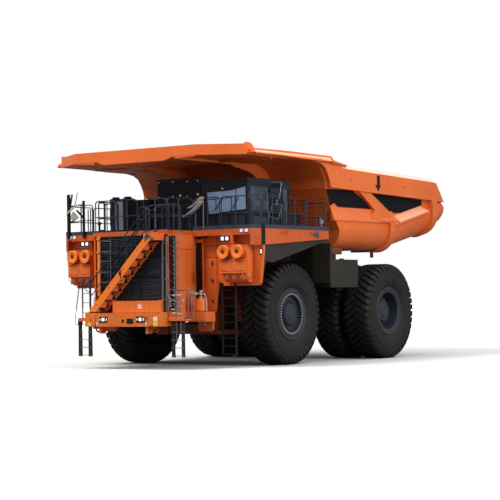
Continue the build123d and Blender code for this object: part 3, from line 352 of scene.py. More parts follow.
# ------------------------------------------------------------------ mesh code
class Mesh:
    def __init__(self):
        self.v, self.f, self.mi, self.m = [], [], [], 0

    def add(self, verts, faces):
        o = len(self.v)
        self.v += [(p[0], p[1] + SY, p[2]) for p in verts]
        for f in faces:
            self.f.append(tuple(o + i for i in f))
            self.mi.append(self.m)

    def box(self, x0, x1, y0, y1, z0, z1):
        x0, x1 = sorted((x0, x1))
        y0, y1 = sorted((y0, y1))
        z0, z1 = sorted((z0, z1))
        self.add([(x0, y0, z0), (x1, y0, z0), (x1, y1, z0), (x0, y1, z0), (x0, y0, z1), (x1, y0, z1), (x1, y1, z1), (x0, y1, z1)],
                 [(0, 3, 2, 1), (4, 5, 6, 7), (0, 1, 5, 4), (1, 2, 6, 5), (2, 3, 7, 6), (3, 0, 4, 7)])

    def slab(self, c, a, b, n):
        """box about c from three half vectors"""
        c, a, b, n = Vector(c), Vector(a), Vector(b), Vector(n)
        if a.cross(b).dot(n) < 0:
            a = -a
        p = [c - a - b - n, c + a - b - n, c + a + b - n, c - a + b - n, c - a - b + n, c + a - b + n, c + a + b + n, c - a + b + n]
        self.add(p, [(0, 3, 2, 1), (4, 5, 6, 7), (0, 1, 5, 4), (1, 2, 6, 5), (2, 3, 7, 6), (3, 0, 4, 7)])

    def beam(self, p, q, w, h, up=(0, 0, 1)):
        """rectangular bar from p to q"""
        p, q = Vector(p), Vector(q)
        d = (q - p)
        s = d.cross(Vector(up))
        if s.length < 1e-6:
            s = d.cross(Vector((1, 0, 0)))
        s.normalize()
        u = s.cross(d).normalized()
        self.slab((p + q) / 2, d / 2, s * w / 2, u * h / 2)

    def prism(self, pts, plane, a, b):
        """outline pushed from a to b along the plane's axis; plane is x: (y, z), y: (x, z), z: (x, y)"""
        def at(p, t):
            return {"x": (t, p[0], p[1]), "y": (p[0], t, p[1]), "z": (p[0], p[1], t)}[plane]
        n = len(pts)
        area = sum(pts[i][0] * pts[(i + 1) % n][1] - pts[(i + 1) % n][0] * pts[i][1] for i in range(n))
        if (area > 0) != ((b > a) != (plane == "y")):
            pts = pts[::-1]
        vs = [at(p, a) for p in pts] + [at(p, b) for p in pts]
        fs = [tuple(reversed(range(n))), tuple(range(n, 2 * n))]
        fs += [(i, (i + 1) % n, n + (i + 1) % n, n + i) for i in range(n)]
        self.add(vs, fs)

    def tube(self, pts, r, n=8, cap=True):
        pts = [Vector(p) for p in pts]
        k = len(pts)
        dirs = [(pts[i + 1] - pts[i]).normalized() for i in range(k - 1)]
        tang = [dirs[0]] + [(dirs[i - 1] + dirs[i]).normalized() for i in range(1, k - 1)] + [dirs[-1]]
        ref = Vector((0, 0, 1)) if abs(dirs[0].z) < 0.9 else Vector((1, 0, 0))
        u = tang[0].cross(ref).normalized()
        vs, fs = [], []
        for i in range(k):
            u = (u - tang[i] * u.dot(tang[i])).normalized()
            w = tang[i].cross(u)
            g = r
            if 0 < i < k - 1:
                g = r / max(0.5, math.sqrt((1 + dirs[i - 1].dot(dirs[i])) / 2))
            for j in range(n):
                t = 2 * math.pi * j / n
                vs.append(pts[i] + u * (g * math.cos(t)) + w * (g * math.sin(t)))
        for i in range(k - 1):
            for j in range(n):
                a, b2 = i * n + j, i * n + (j + 1) % n
                fs.append((a, b2, b2 + n, a + n))
        if cap:
            fs.append(tuple(reversed(range(n))))
            fs.append(tuple(range((k - 1) * n, k * n)))
        self.add(vs, fs)

    def lathe(self, c, axis, prof, n=48, closed=True):
        """turned body about an axis through c; prof is (along, radius), closed ring of points"""
        c, ax = Vector(c), Vector(axis).normalized()
        ref = Vector((0, 0, 1)) if abs(ax.z) < 0.9 else Vector((1, 0, 0))
        u = ax.cross(ref).normalized()
        w = ax.cross(u)
        k = len(prof)
        area = sum(prof[i][0] * prof[(i + 1) % k][1] - prof[(i + 1) % k][0] * prof[i][1] for i in range(k))
        vs, fs = [], []
        for j in range(n):
            t = 2 * math.pi * j / n
            d = u * math.cos(t) + w * math.sin(t)
            vs += [c + ax * a + d * max(r, 1e-4) for a, r in prof]
        rng = k if closed else k - 1
        for j in range(n):
            o, p = j * k, ((j + 1) % n) * k
            for i in range(rng):
                i2 = (i + 1) % k
                if closed and prof[i][1] < 1e-6 and prof[i2][1] < 1e-6:
                    continue
                q = (o + i, o + i2, p + i2, p + i)
                fs.append(q if area < 0 else tuple(reversed(q)))
        self.add(vs, fs)

    def cyl(self, p, q, r, n=20, ch=0.0):
        p, q = Vector(p), Vector(q)
        L = (q - p).length
        ch = min(ch, L * 0.4, r * 0.5)
        prof = [(0, 0.0), (0, r - ch), (ch, r), (L - ch, r), (L, r - ch), (L, 0.0)] if ch else [(0, 0.0), (0, r), (L, r), (L, 0.0)]
        self.lathe(p, q - p, prof, n)

    def ring(self, c, axis, r0, r1, h, n=40):
        self.lathe(c, axis, [(0, r0), (0, r1), (h, r1), (h, r0)], n)

    def hexes(self, c, axis, R, count, r, h, n=6, phase=0.0):
        """a circle of nuts or bolt heads"""
        c, ax = Vector(c), Vector(axis).normalized()
        ref = Vector((0, 0, 1)) if abs(ax.z) < 0.9 else Vector((1, 0, 0))
        u = ax.cross(ref).normalized()
        w = ax.cross(u)
        for k in range(count):
            t = 2 * math.pi * k / count + phase
            p = c + u * (R * math.cos(t)) + w * (R * math.sin(t))
            self.cyl(p, p + ax * h, r, n)

    def dome(self, c, axis, r, h, n=24, k=6):
        prof = [(h * math.sin(math.pi / 2 * i / k), r * math.cos(math.pi / 2 * i / k)) for i in range(k + 1)]
        self.lathe(c, axis, [(0, 0.0)] + prof[:-1] + [(h, 0.0)], n)


def bend(pts, r, k=5):
    """rounds the corners of a railing's line"""
    pts = [Vector(p) for p in pts]
    out = [pts[0]]
    for i in range(1, len(pts) - 1):
        a, b, c = pts[i - 1], pts[i], pts[i + 1]
        ra = min(r, (a - b).length * 0.45, (c - b).length * 0.45)
        p, q = b + (a - b).normalized() * ra, b + (c - b).normalized() * ra
        for j in range(k + 1):
            t = j / k
            out.append(p * (1 - t) ** 2 + b * 2 * t * (1 - t) + q * t ** 2)
    out.append(pts[-1])
    return out


def piece(mesh, name, mats, body="chassis", bevel=0.0, angle=35, replaces=()):
    me = bpy.data.meshes.new(name)
    me.from_pydata(mesh.v, [], mesh.f)
    mats = mats if isinstance(mats, (list, tuple)) else [mats]
    for m in mats:
        me.materials.append(m)
    for p, i in zip(me.polygons, mesh.mi):
        p.material_index = min(i, len(mats) - 1)
        p.use_smooth = True
    me.validate()
    me.set_sharp_from_angle(angle=math.radians(angle))
    o = bpy.data.objects.new(name, me)
    bpy.context.scene.collection.objects.link(o)
    if bevel:
        bv = o.modifiers.new("bevel", "BEVEL")
        bv.width = bevel
        bv.segments = 2
        bv.limit_method = "ANGLE"
        bv.angle_limit = math.radians(40)
        bv.harden_normals = True
    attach(o, body)
    if replaces:
        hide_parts(*replaces)
    return o


def use(node, m):
    o = NODES[node]
    o.data.materials.clear()
    o.data.materials.append(m)


# ------------------------------------------------------------------ CAD nodes that stay, with their paint
for n, m in {
    "chassis_frame": M_FRAME, "engine_block": M_IRON, "radiator": M_CORE, "front_bumper": M_BUMPER, "nose_panels": M_ORANGE, "blower_boxes": M_ORANGE,
    "deck": M_DECK, "deck_supports": M_SUPPORT, "cab_shell": M_CAB, "cab_door": M_CAB, "cab_glass": M_GLASS, "cab_door_glass": M_GLASS,
    "deck_cabinets": M_CABINET, "air_cleaners": M_SLATE, "side_tanks": M_TANK, "front_suspension": M_FRAME, "rear_axle": M_FRAME,
    "steering_cylinders": M_CYL, "bed_tub": M_BED, "bed_rails": M_ORANGE, "bed_canopy": M_ORANGE,
    "knuckle_left": M_FRAME, "knuckle_right": M_FRAME, "tie_rod": M_FRAME, "steering_rod_left": M_CHROME, "steering_rod_right": M_CHROME,
    "hoist_barrel_left": M_CYL, "hoist_barrel_right": M_CYL, "hoist_sleeve_left": M_CHROME, "hoist_sleeve_right": M_CHROME,
    "hoist_rod_left": M_CHROME, "hoist_rod_right": M_CHROME,
    "front_rim_left": M_RIM, "front_rim_right": M_RIM, "rear_rims_left": M_RIM, "rear_rims_right": M_RIM,
}.items():
    use(n, m)

# ------------------------------------------------------------------ tyres
# half section of the carcass under the lugs, (distance from the middle, radius)
CARCASS = [(0.0, 1.688), (0.20, 1.688), (0.36, 1.682), (0.44, 1.665), (0.495, 1.632), (0.532, 1.585), (0.556, 1.53), (0.570, 1.497), (0.584, 1.490), (0.584, 1.470),
           (0.574, 1.462), (0.580, 1.38), (0.582, 1.30), (0.574, 1.20), (0.556, 1.12), (0.545, 1.085), (0.548, 1.065), (0.530, 1.045), (0.508, 1.0), (0.478, 0.955), (0.448, 0.925),
           (0.427, 0.895), (0.415, 0.742)]
LUG_TOP = [(0.022, 1.779), (0.15, 1.780), (0.28, 1.780), (0.38, 1.778), (0.46, 1.765), (0.515, 1.734), (0.548, 1.69), (0.568, 1.63), (0.578, 1.56), (0.574, 1.512)]
LUG_BOT = [(0.022, 1.66), (0.15, 1.66), (0.28, 1.66), (0.37, 1.655), (0.43, 1.64), (0.47, 1.61), (0.50, 1.58), (0.528, 1.545), (0.55, 1.51), (0.56, 1.495)]
LUG_N = 42


def tyre(mesh, cx, cy):
    c = (cx, cy, WR)
    half = CARCASS
    ring = [(x, r) for x, r in half] + [(-x, r) for x, r in reversed(half[1:])]
    mesh.lathe(c, (1, 0, 0), ring, 108)
    st = len(LUG_TOP)
    for side in (1, -1):
        for k in range(LUG_N):
            ph = 2 * math.pi * (k + (0.5 if side < 0 else 0.0)) / LUG_N
            vs = []
            for i in range(st):
                t = min(1.0, LUG_TOP[i][0] / 0.50)
                sh = 0.165 * (1 - t) ** 1.15
                wid = 0.094 - 0.004 * t - (0.010 if i >= st - 2 else 0.0)
                a0 = ph + sh
                for (x, r), g in ((LUG_TOP[i], 1.0), (LUG_BOT[i], 1.22)):
                    for s in (-1, 1):
                        a = a0 + s * wid * g / 1.781
                        vs.append((cx + side * x, cy + r * math.sin(a), WR + r * math.cos(a)))
            fs = []
            for i in range(st - 1):
                a, b = 4 * i, 4 * (i + 1)
                fs += [(a, b, b + 1, a + 1), (a + 2, b + 2, b, a), (a + 1, b + 1, b + 3, a + 3)]
            fs += [(0, 1, 3, 2), (4 * (st - 1) + 1, 4 * (st - 1), 4 * (st - 1) + 2, 4 * (st - 1) + 3)]
            if side < 0:
                fs = [tuple(reversed(f)) for f in fs]
            mesh.add(vs, fs)


for side, sg in (("left", 1), ("right", -1)):
    m = Mesh()
    tyre(m, 3.075 * sg, AXF)
    piece(m, f"front_tyre_{side}_treaded", M_TYRE, f"front_wheel_{side}", angle=28, replaces=(f"front_tyre_{side}",))
    m = Mesh()
    tyre(m, 2.295 * sg, AXR)
    tyre(m, 3.665 * sg, AXR)
    piece(m, f"rear_tyres_{side}_treaded", M_TYRE, f"rear_wheels_{side}", angle=28, replaces=(f"rear_tyres_{side}",))

    # front wheel: lock rings, nut ring, hub plate with its own bolts
    cx = 3.075 * sg
    ax = (sg, 0, 0)

    def at(x, cxx=cx, cy=AXF):
        return (cxx + sg * x, cy, WR)
    m = Mesh()
    m.lathe(at(0.425), ax, [(0.0, 0.80), (0.0, 0.90), (0.030, 0.915), (0.052, 0.900), (0.046, 0.862), (0.030, 0.84), (0.030, 0.80)], 64)
    m.m = 1
    m.lathe(at(0.425), ax, [(0.0, 0.70), (0.0, 0.83), (0.020, 0.84), (0.040, 0.812), (0.050, 0.765), (0.044, 0.735), (0.020, 0.72)], 64)
    m.ring(at(0.436), ax, 0.655, 0.735, 0.012, 64)
    m.m = 2
    m.hexes(at(0.446), ax, 0.697, 44, 0.034, 0.038)
    m.m = 1
    m.lathe(at(0.33), ax, [(0.0, 0.44), (0.0, 0.60), (0.020, 0.60), (0.034, 0.56), (0.034, 0.46)], 48)
    m.hexes(at(0.362), ax, 0.52, 24, 0.024, 0.022)
    m.m = 3
    m.lathe(at(0.398), ax, [(0.0, 0.0), (0.0, 0.33), (0.022, 0.33), (0.030, 0.31), (0.030, 0.21), (0.062, 0.19), (0.066, 0.0)], 48)
    m.hexes(at(0.425), ax, 0.27, 16, 0.022, 0.022)
    m.hexes(at(0.46), ax, 0.12, 8, 0.018, 0.018)
    m.m = 1
    m.hexes(at(0.398), ax, 0.375, 20, 0.016, 0.016)
    piece(m, f"front_hub_{side}", [M_LIP, M_RIM, M_NUT, M_SLATE], f"front_wheel_{side}", angle=30)

    # rear wheel: outer ring, dish rings, motor hub
    cx = 3.665 * sg

    def at(x, cxx=cx, cy=AXR):
        return (cxx + sg * x, cy, WR)
    m = Mesh()
    m.lathe(at(0.425), ax, [(0.0, 0.80), (0.0, 0.90), (0.030, 0.918), (0.052, 0.902), (0.050, 0.862), (0.040, 0.815)], 64)
    m.m = 1
    m.lathe(at(0.40), ax, [(0.0, 0.75), (0.03, 0.79), (0.065, 0.79), (0.060, 0.74), (0.035, 0.70), (0.0, 0.695)], 64)
    m.lathe(at(0.02), ax, [(0.0, 0.568), (0.0, 0.655), (0.018, 0.655), (0.026, 0.64), (0.026, 0.568)], 56)
    m.hexes(at(0.044), ax, 0.612, 36, 0.022, 0.03)
    m.m = 2
    m.lathe(at(0.19), ax, [(0.0, 0.0), (0.0, 0.385), (0.050, 0.385), (0.064, 0.36), (0.066, 0.24), (0.100, 0.22), (0.104, 0.0)], 56)
    m.hexes(at(0.25), ax, 0.30, 16, 0.022, 0.026)
    m.hexes(at(0.29), ax, 0.13, 8, 0.018, 0.018)
    m.hexes(at(0.118), ax, 0.43, 24, 0.022, 0.028)
    # planet covers round the motor hub
    for k in range(3):
        t = 2 * math.pi * k / 3 + 0.4
        m.cyl((cx + sg * 0.115, AXR + 0.40 * math.sin(t), WR + 0.40 * math.cos(t)), (cx + sg * 0.150, AXR + 0.40 * math.sin(t), WR + 0.40 * math.cos(t)), 0.10, 24, 0.01)
    piece(m, f"rear_hub_{side}", [M_LIP, M_RIM, M_SLATE], f"rear_wheels_{side}", angle=30)

# ------------------------------------------------------------------ bumper
m = Mesh()
m.m = 0
for x, w in ((-0.80, 0.0), (0.81, 0.0)):
    m.box(x - 0.185, x + 0.185, -8.082, -8.068, 1.60, 1.80)
m.box(0.21, 0.50, -8.078, -8.068, 1.56, 1.73)
m.box(0.0, 0.09, -8.078, -8.068, 1.59, 1.70)
piece(m, "bumper_lamp_frames", M_BLACK, bevel=0.006)
m = Mesh()
for x in (-0.80, 0.81):
    m.box(x - 0.070, x + 0.055, -8.094, -8.078, 1.645, 1.760)
    m.box(x + 0.115, x + 0.155, -8.090, -8.078, 1.655, 1.745)
    m.box(x - 0.165, x - 0.125, -8.090, -8.078, 1.67, 1.73)
piece(m, "bumper_lamps", M_LENS, bevel=0.008)
m = Mesh()
# louvre bars of the small vent between the lamps
for k in range(6):
    z = 1.575 + 0.026 * k
    m.box(0.225, 0.485, -8.088, -8.076, z, z + 0.012)
piece(m, "bumper_vent_bars", M_STEEL_D)
m = Mesh()
# plain chevron marks
for xt, sg in ((-1.39, 1), (1.00, 1)):
    for a in (1, -1):
        p = Vector((xt, -8.074, 1.70))
        q = Vector((xt + 0.20 * sg, -8.074, 1.70 + a * 0.125))
        m.beam(p, q, 0.012, 0.035, (0, 1, 0))
piece(m, "bumper_chevrons", M_ORANGE_PAINTED_SHADE)
m = Mesh()
m.box(1.34, 1.53, -8.078, -8.068, 1.65, 1.785)
for x in (-1.09, 1.05):
    m.box(x - 0.02, x + 0.02, -8.078, -8.068, 1.50, 1.63)
m.m = 1
m.box(1.34, 1.53, -8.080, -8.068, 1.48, 1.63)
m.box(-1.50, -1.34, -8.078, -8.068, 1.48, 1.60)
m.m = 0
m.box(0.60, 0.75, -7.938, -7.928, 2.14, 2.20)
m.box(0.60, 0.75, -7.938, -7.928, 2.06, 2.12)
piece(m, "bumper_blank_plates", [M_WHITE, M_YEL], bevel=0.002)
m = Mesh()
# seams, weld beads and bolts of the beam and of the box above it
m.box(-1.62, 1.62, -8.073, -8.066, 1.928, 1.934)
m.box(-0.50, 1.45, -7.935, -7.925, 2.33, 2.345)
piece(m, "bumper_seams", M_GROOVE)
m = Mesh()
for x in (-1.12, 1.16, -0.45, 0.56):
    m.box(x - 0.003, x + 0.003, -8.072, -8.067, 1.47, 1.92)
for x in (0.48, 1.10):
    m.box(x - 0.003, x + 0.003, -7.933, -7.927, 1.94, 2.33)
for x in (-1.57, -1.30, -0.60, -0.30, 0.60, 1.25, 1.57):
    for z in (1.50, 1.89):
        m.cyl((x, -8.068, z), (x, -8.080, z), 0.016, 6)
for x in (-0.42, 0.05, 0.9, 1.38):
    for z in (1.98, 2.29):
        m.cyl((x, -7.928, z), (x, -7.940, z), 0.014, 6)
piece(m, "bumper_bolts", M_ORANGE_PAINTED_SHADE)
m = Mesh()
# tow hooks and a shackle under the bumper
for x in (-1.30, 1.20):
    m.tube(bend([(x, -7.86, 1.47), (x, -7.86, 1.33), (x + 0.12, -7.86, 1.27), (x + 0.20, -7.86, 1.36)], 0.06), 0.032, 10)
m.box(-1.40, -1.16, -7.92, -7.80, 1.38, 1.47)
m.box(1.08, 1.34, -7.92, -7.80, 1.38, 1.47)
piece(m, "tow_hooks", M_ORANGE_PAINTED_SHADE, bevel=0.004)

# ------------------------------------------------------------------ radiator guard and the rung ladder beside it
m = Mesh()
n_l = 34
for k in range(n_l):
    z = 2.42 + (4.50 - 2.42) * k / (n_l - 1)
    m.slab((0, -7.600, z), (1.335, 0, 0), (0, 0.014, 0.010), (0, -0.0022, 0.0032))
piece(m, "radiator_louvres", M_SLATE)
m = Mesh()
for x in (-1.345, -0.44, 0.46, 1.345):
    m.box(x - 0.022, x + 0.022, -7.628, -7.585, 2.38, 4.54)
for z in (2.385, 3.10, 3.80, 4.52):
    m.box(-1.365, 1.365, -7.626, -7.590, z - 0.020, z + 0.020)
piece(m, "radiator_guard_frame", M_BLACK, bevel=0.004)
m = Mesh()
for x in (-0.93, -0.02, 0.88):
    m.tube([(x, -7.635, 2.42), (x, -7.635, 4.52)], 0.010, 6)
for k in range(9):
    z = 2.55 + 0.235 * k
    m.tube([(-1.30, -7.640, z), (1.30, -7.640, z)], 0.007, 6)
piece(m, "radiator_wire_guard", M_STEEL_D)
m = Mesh()
m.box(-1.37, -1.25, -7.68, -7.60, 2.50, 4.56)
for z in (2.72, 3.35, 4.0, 4.45):
    m.box(-1.40, -1.25, -7.70, -7.60, z - 0.02, z + 0.03)
piece(m, "orange_post", M_ORANGE_PAINTED_LIT, bevel=0.006)
m = Mesh()
for z in (2.97, 3.32, 3.68, 4.02, 4.38):
    m.tube(bend([(-1.26, -7.64, z + 0.015), (-1.18, -7.73, z), (-0.84, -7.73, z), (-0.78, -7.64, z + 0.01)], 0.05), 0.014, 8)
m.tube([(-0.77, -7.68, 2.70), (-0.77, -7.68, 4.50)], 0.016, 8)
m.tube([(-1.20, -7.72, 2.60), (-1.20, -7.72, 4.46)], 0.009, 6)
piece(m, "radiator_rungs", M_STEEL)

# ------------------------------------------------------------------ grey posts and the bolted strip
m = Mesh()
m.tube([(1.42, -7.62, 1.95), (1.44, -7.62, 4.42)], 0.045, 12)
m.tube([(1.58, -7.63, 1.95), (1.60, -7.63, 4.48)], 0.030, 12)
m.tube([(1.86, -7.30, 1.80), (1.86, -7.30, 4.50), (1.86, -7.28, 4.62)], 0.020, 8)
m.tube([(1.72, -7.36, 1.93), (1.72, -7.36, 4.40)], 0.016, 8)
for z in (2.35, 3.05, 3.75, 4.25):
    m.box(1.38, 1.64, -7.63, -7.585, z - 0.022, z + 0.022)
    m.box(1.62, 1.88, -7.33, -7.29, z - 0.015, z + 0.015)
piece(m, "grey_guard_posts", M_STEEL, bevel=0.002)
m = Mesh()
m.box(1.618, 1.630, -7.50, -7.16, 1.95, 4.50)
m.box(1.618, 1.634, -7.515, -7.495, 1.95, 4.50)
piece(m, "side_black_strip", M_BLACK)
m = Mesh()
for k in range(17):
    z = 2.02 + 0.15 * k
    m.cyl((1.628, -7.30, z), (1.642, -7.30, z), 0.020, 6)
    if k % 2 == 0:
        m.cyl((1.628, -7.43, z + 0.05), (1.638, -7.43, z + 0.05), 0.012, 6)
piece(m, "side_strip_bolts", M_PALE)

# far side wall has the same strip
m = Mesh()
m.box(-1.630, -1.618, -7.50, -7.16, 1.95, 4.50)
for k in range(17):
    z = 2.02 + 0.15 * k
    m.m = 1
    m.cyl((-1.628, -7.30, z), (-1.642, -7.30, z), 0.020, 6)
piece(m, "side_strip_right", [M_BLACK, M_PALE])

# ------------------------------------------------------------------ nose walls: seams, hinges, strips, lamps
for side, sg in (("left", 1), ("right", -1)):
    m = Mesh()
    # seams on the walls in front of the wheels and on the side wall
    for z in (4.16, 3.77):
        m.box(sg * 1.92, sg * 2.86, -5.836, -5.829, z - 0.006, z + 0.006)
    m.box(sg * 2.40, sg * 2.412, -5.836, -5.829, 1.95, 4.50)
    for y in (-6.55, -7.10):
        m.box(sg * 1.619, sg * 1.6245, y - 0.005, y + 0.005, 1.95, 4.52)
    m.box(sg * 1.619, sg * 1.6245, -7.10, -5.97, 4.05, 4.06)
    for k in range(0 if sg > 0 else 1, 5):
        m.box(sg * (4.06 + 0.02 * k), sg * (4.10 + 0.02 * k), -5.836, -5.829, 3.05 + 0.25 * k, 3.07 + 0.25 * k)
    piece(m, f"nose_seams_{side}", M_GROOVE)
    m = Mesh()
    # black strip that faces the front, and the slot above it drawn as a black box: painted shade in the slot
    m.box(sg * 1.600, sg * 1.880, -5.998, -5.988, 2.32, 4.28)
    m.box(sg * 1.600, sg * 2.16, -6.004, -5.985, 4.44, 4.54)
    piece(m, f"nose_black_strip_{side}", M_BLACK, bevel=0.003)
    m = Mesh()
    # bright upper plate and stiffened edges
    m.box(sg * 1.619, sg * 1.640, -7.13, -6.00, 4.06, 4.52)
    m.prism([(1.92 * sg, 1.95), (2.27 * sg, 1.95), (2.36 * sg, 2.90), (2.36 * sg, 3.74), (1.92 * sg, 3.74)], "y", -5.842, -5.828)
    if sg > 0:
        m.prism([(2.66, 2.79), (4.11, 2.79), (4.17, 2.85), (4.09, 2.875), (2.70, 2.875)], "y", -5.86, -5.828)
        m.prism([(4.13, 2.86), (4.195, 2.86), (4.322, 3.96), (4.322, 4.13), (4.26, 4.13), (4.255, 3.97)], "y", -5.86, -5.828)
    else:
        m.prism([(-2.66, 2.79), (-3.84, 2.79), (-3.88, 2.875), (-2.70, 2.875)], "y", -5.86, -5.828)
        m.prism([(-4.16, 3.25), (-4.235, 3.32), (-4.322, 3.96), (-4.322, 4.13), (-4.26, 4.13), (-4.255, 3.97)], "y", -5.86, -5.828)
    m.prism([(4.17 * sg, 4.13), (4.235 * sg, 4.13), (4.235 * sg, 4.50), (4.17 * sg, 4.50)], "y", -5.86, -5.828)
    piece(m, f"nose_plates_{side}", M_ORANGE, bevel=0.005)
    m = Mesh()
    for z in (2.2, 2.9, 3.5):
        m.box(sg * 2.18, sg * 2.24, -5.865, -5.83, z, z + 0.12)
    m.tube(bend([(sg * 1.70, -5.99, 2.15), (sg * 1.70, -6.05, 2.15), (sg * 1.70, -6.05, 2.30), (sg * 1.70, -5.99, 2.30)], 0.03), 0.010, 8)
    m.tube(bend([(sg * 1.64, -6.25, 2.95), (sg * 1.69, -6.25, 2.95), (sg * 1.69, -6.25, 3.20), (sg * 1.64, -6.25, 3.20)], 0.03), 0.010, 8)
    piece(m, f"nose_hinges_{side}", M_STEEL_D, bevel=0.003)

    # corner lamp, corner plate and black corner strip
    m = Mesh()
    m.box(sg * 4.195, sg * 4.305, -5.885, -5.83, 3.825, 4.015)
    m.m = 1
    m.box(sg * 4.215, sg * 4.285, -5.896, -5.88, 3.85, 3.99)
    piece(m, f"corner_lamp_{side}", [M_BLACK, M_LENS], bevel=0.005)
    m = Mesh()
    m.slab((sg * 4.20, -6.012, 4.33), (sg * 0.07, 0.0727, 0), (0, 0, 0.135), (sg * 0.003, -0.003, 0))
    piece(m, f"corner_plate_{side}", M_ORANGE_PAINTED_SHADE, bevel=0.003)
    m = Mesh()
    m.box(sg * 4.297, sg * 4.310, -5.90, -5.70, 4.145, 4.86)
    m.box(sg * 4.28, sg * 4.310, -5.912, -5.895, 4.145, 4.86)
    piece(m, f"corner_strip_{side}", M_BLACK, bevel=0.004)

    # blower boxes: ring faces, ribs on the housing, domes, lamps
    m = Mesh()
    for x, y in ((3.03, -6.405), (3.61, -6.405)):
        m.lathe((sg * x, y + 0.02, 3.92), (0, -1, 0), [(0.0, 0.095), (0.0, 0.236), (0.020, 0.236), (0.035, 0.222), (0.035, 0.115), (0.020, 0.095)], 40)
    piece(m, f"blower_rings_{side}", M_ORANGE_PAINTED_LIT, angle=40)
    # painted shade: dark red discs in the blower eyes stand in for the shadow inside the openings
    m = Mesh()
    for x in (3.03, 3.61):
        m.lathe((sg * x, -6.352, 3.92), (0, -1, 0), [(0.0, 0.0), (0.0, 0.094), (0.028, 0.094), (0.028, 0.0)], 32)
    piece(m, f"blower_eyes_{side}", M_BLOWER_EYE_SHADE)
    m = Mesh()
    for x in (3.03, 3.61):
        for k in range(3):
            m.lathe((sg * x, -6.26 - 0.035 * k, 3.92), (0, -1, 0), [(0.0, 0.225), (0.004, 0.246), (0.014, 0.246), (0.018, 0.225)], 40)
        m.hexes((sg * x, -6.408, 3.92), (0, -1, 0), 0.17, 8, 0.012, 0.010)
    piece(m, f"blower_housing_ribs_{side}", M_ORANGE_PAINTED_SHADE, angle=40)
    m = Mesh()
    # three rounded drums on the tray below the box
    for x in (3.06, 3.37, 3.68):
        m.lathe((sg * x, -6.13, 2.95), (0, 0, 1), [(0.0, 0.0), (0.0, 0.06), (0.03, 0.10), (0.09, 0.132), (0.23, 0.137)], 28)
    piece(m, f"blower_drums_{side}", M_ORANGE, angle=40)
    m = Mesh()
    # two-panel box with a raised border, top lid, and side ribs
    for x0, x1 in ((2.90, 3.32), (3.40, 3.84)):
        m.box(sg * x0, sg * x1, -6.325, -6.308, 3.28, 3.59)
    m.box(sg * 2.86, sg * 3.90, -6.33, -6.22, 3.625, 3.655)
    m.box(sg * 2.86, sg * 3.90, -6.32, -6.22, 3.205, 3.235)
    m.box(sg * 2.88, sg * 3.89, -6.25, -5.84, 4.12, 4.145)
    m.box(sg * 3.868, sg * 3.895, -6.20, -5.86, 3.22, 4.08)
    for z in (3.40, 3.62, 3.86):
        m.box(sg * 3.868, sg * 3.905, -6.22, -5.84, z, z + 0.025)
    for x in (3.30, 3.36):
        m.box(sg * x, sg * (x + 0.02), -6.245, -6.228, 3.66, 4.10)
    piece(m, f"blower_box_panels_{side}", M_ORANGE, bevel=0.006)
    m = Mesh()
    for x in (3.10, 3.43, 3.80):
        m.dome((sg * x, -6.04, 3.14), (0, -0.25, -1), 0.135, 0.20, 24, 6)
        m.cyl((sg * x, -6.03, 3.19), (sg * x, -6.045, 3.12), 0.142, 24)
    piece(m, f"blower_domes_{side}", M_ORANGE, angle=40)
    m = Mesh()
    for x in (2.97, 3.78):
        for z in (3.31, 3.56):
            m.cyl((sg * x, -6.324, z), (sg * x, -6.336, z), 0.012, 6)
    for x in (2.93, 3.20, 3.55, 3.84):
        m.cyl((sg * x, -6.229, 4.08), (sg * x, -6.241, 4.08), 0.012, 6)
    m.cyl((sg * 3.30, -6.229, 3.72), (sg * 3.30, -6.25, 3.72), 0.02, 8)
    m.tube(bend([(sg * 3.80, -6.31, 3.20), (sg * 3.80, -6.36, 3.18), (sg * 3.80, -6.36, 3.08), (sg * 3.80, -6.28, 3.04)], 0.03), 0.010, 8)
    piece(m, f"blower_bolts_{side}", M_ORANGE_PAINTED_SHADE)
    m = Mesh()
    # headlights in their dark frame, and the upper deck lamps
    m.box(sg * 2.88, sg * 3.29, -6.318, -6.298, 4.27, 4.475)
    m.m = 1
    for x in (2.98, 3.17):
        m.box(sg * (x - 0.060), sg * (x + 0.060), -6.336, -6.314, 4.31, 4.435)
    piece(m, f"headlights_{side}", [M_BLACK, M_LENS], bevel=0.010)
    m = Mesh()
    for x in (3.67, 3.87):
        m.box(sg * (x - 0.055), sg * (x + 0.055), -6.200, -6.168, 4.575, 4.68)
    m.m = 1
    for x in (3.67, 3.87):
        m.box(sg * (x - 0.068), sg * (x + 0.068), -6.184, -6.168, 4.56, 4.692)
    piece(m, f"deck_lamps_{side}", [M_LENS_B, M_ORANGE_PAINTED_SHADE], bevel=0.006)
    m = Mesh()
    # edge beads and seams of the deck's fascia
    m.box(sg * 1.62, sg * 3.88, -6.178, -6.168, 4.49, 4.505)
    for x in (2.45, 3.35):
        m.box(sg * x, sg * (x + 0.008), -6.176, -6.168, 4.51, 4.68)
    m.m = 1
    m.box(sg * 4.298, sg * 4.306, -5.50, -1.68, 4.665, 4.69)
    for y in (-4.95, -3.6, -2.4):
        m.box(sg * 4.299, sg * 4.3045, y, y + 0.008, 4.25 + 0.067 * (y + 5.5), 4.66)
    piece(m, f"deck_seams_{side}", [M_ORANGE_PAINTED_SHADE, M_ORANGE_PAINTED_SHADE])
    m = Mesh()
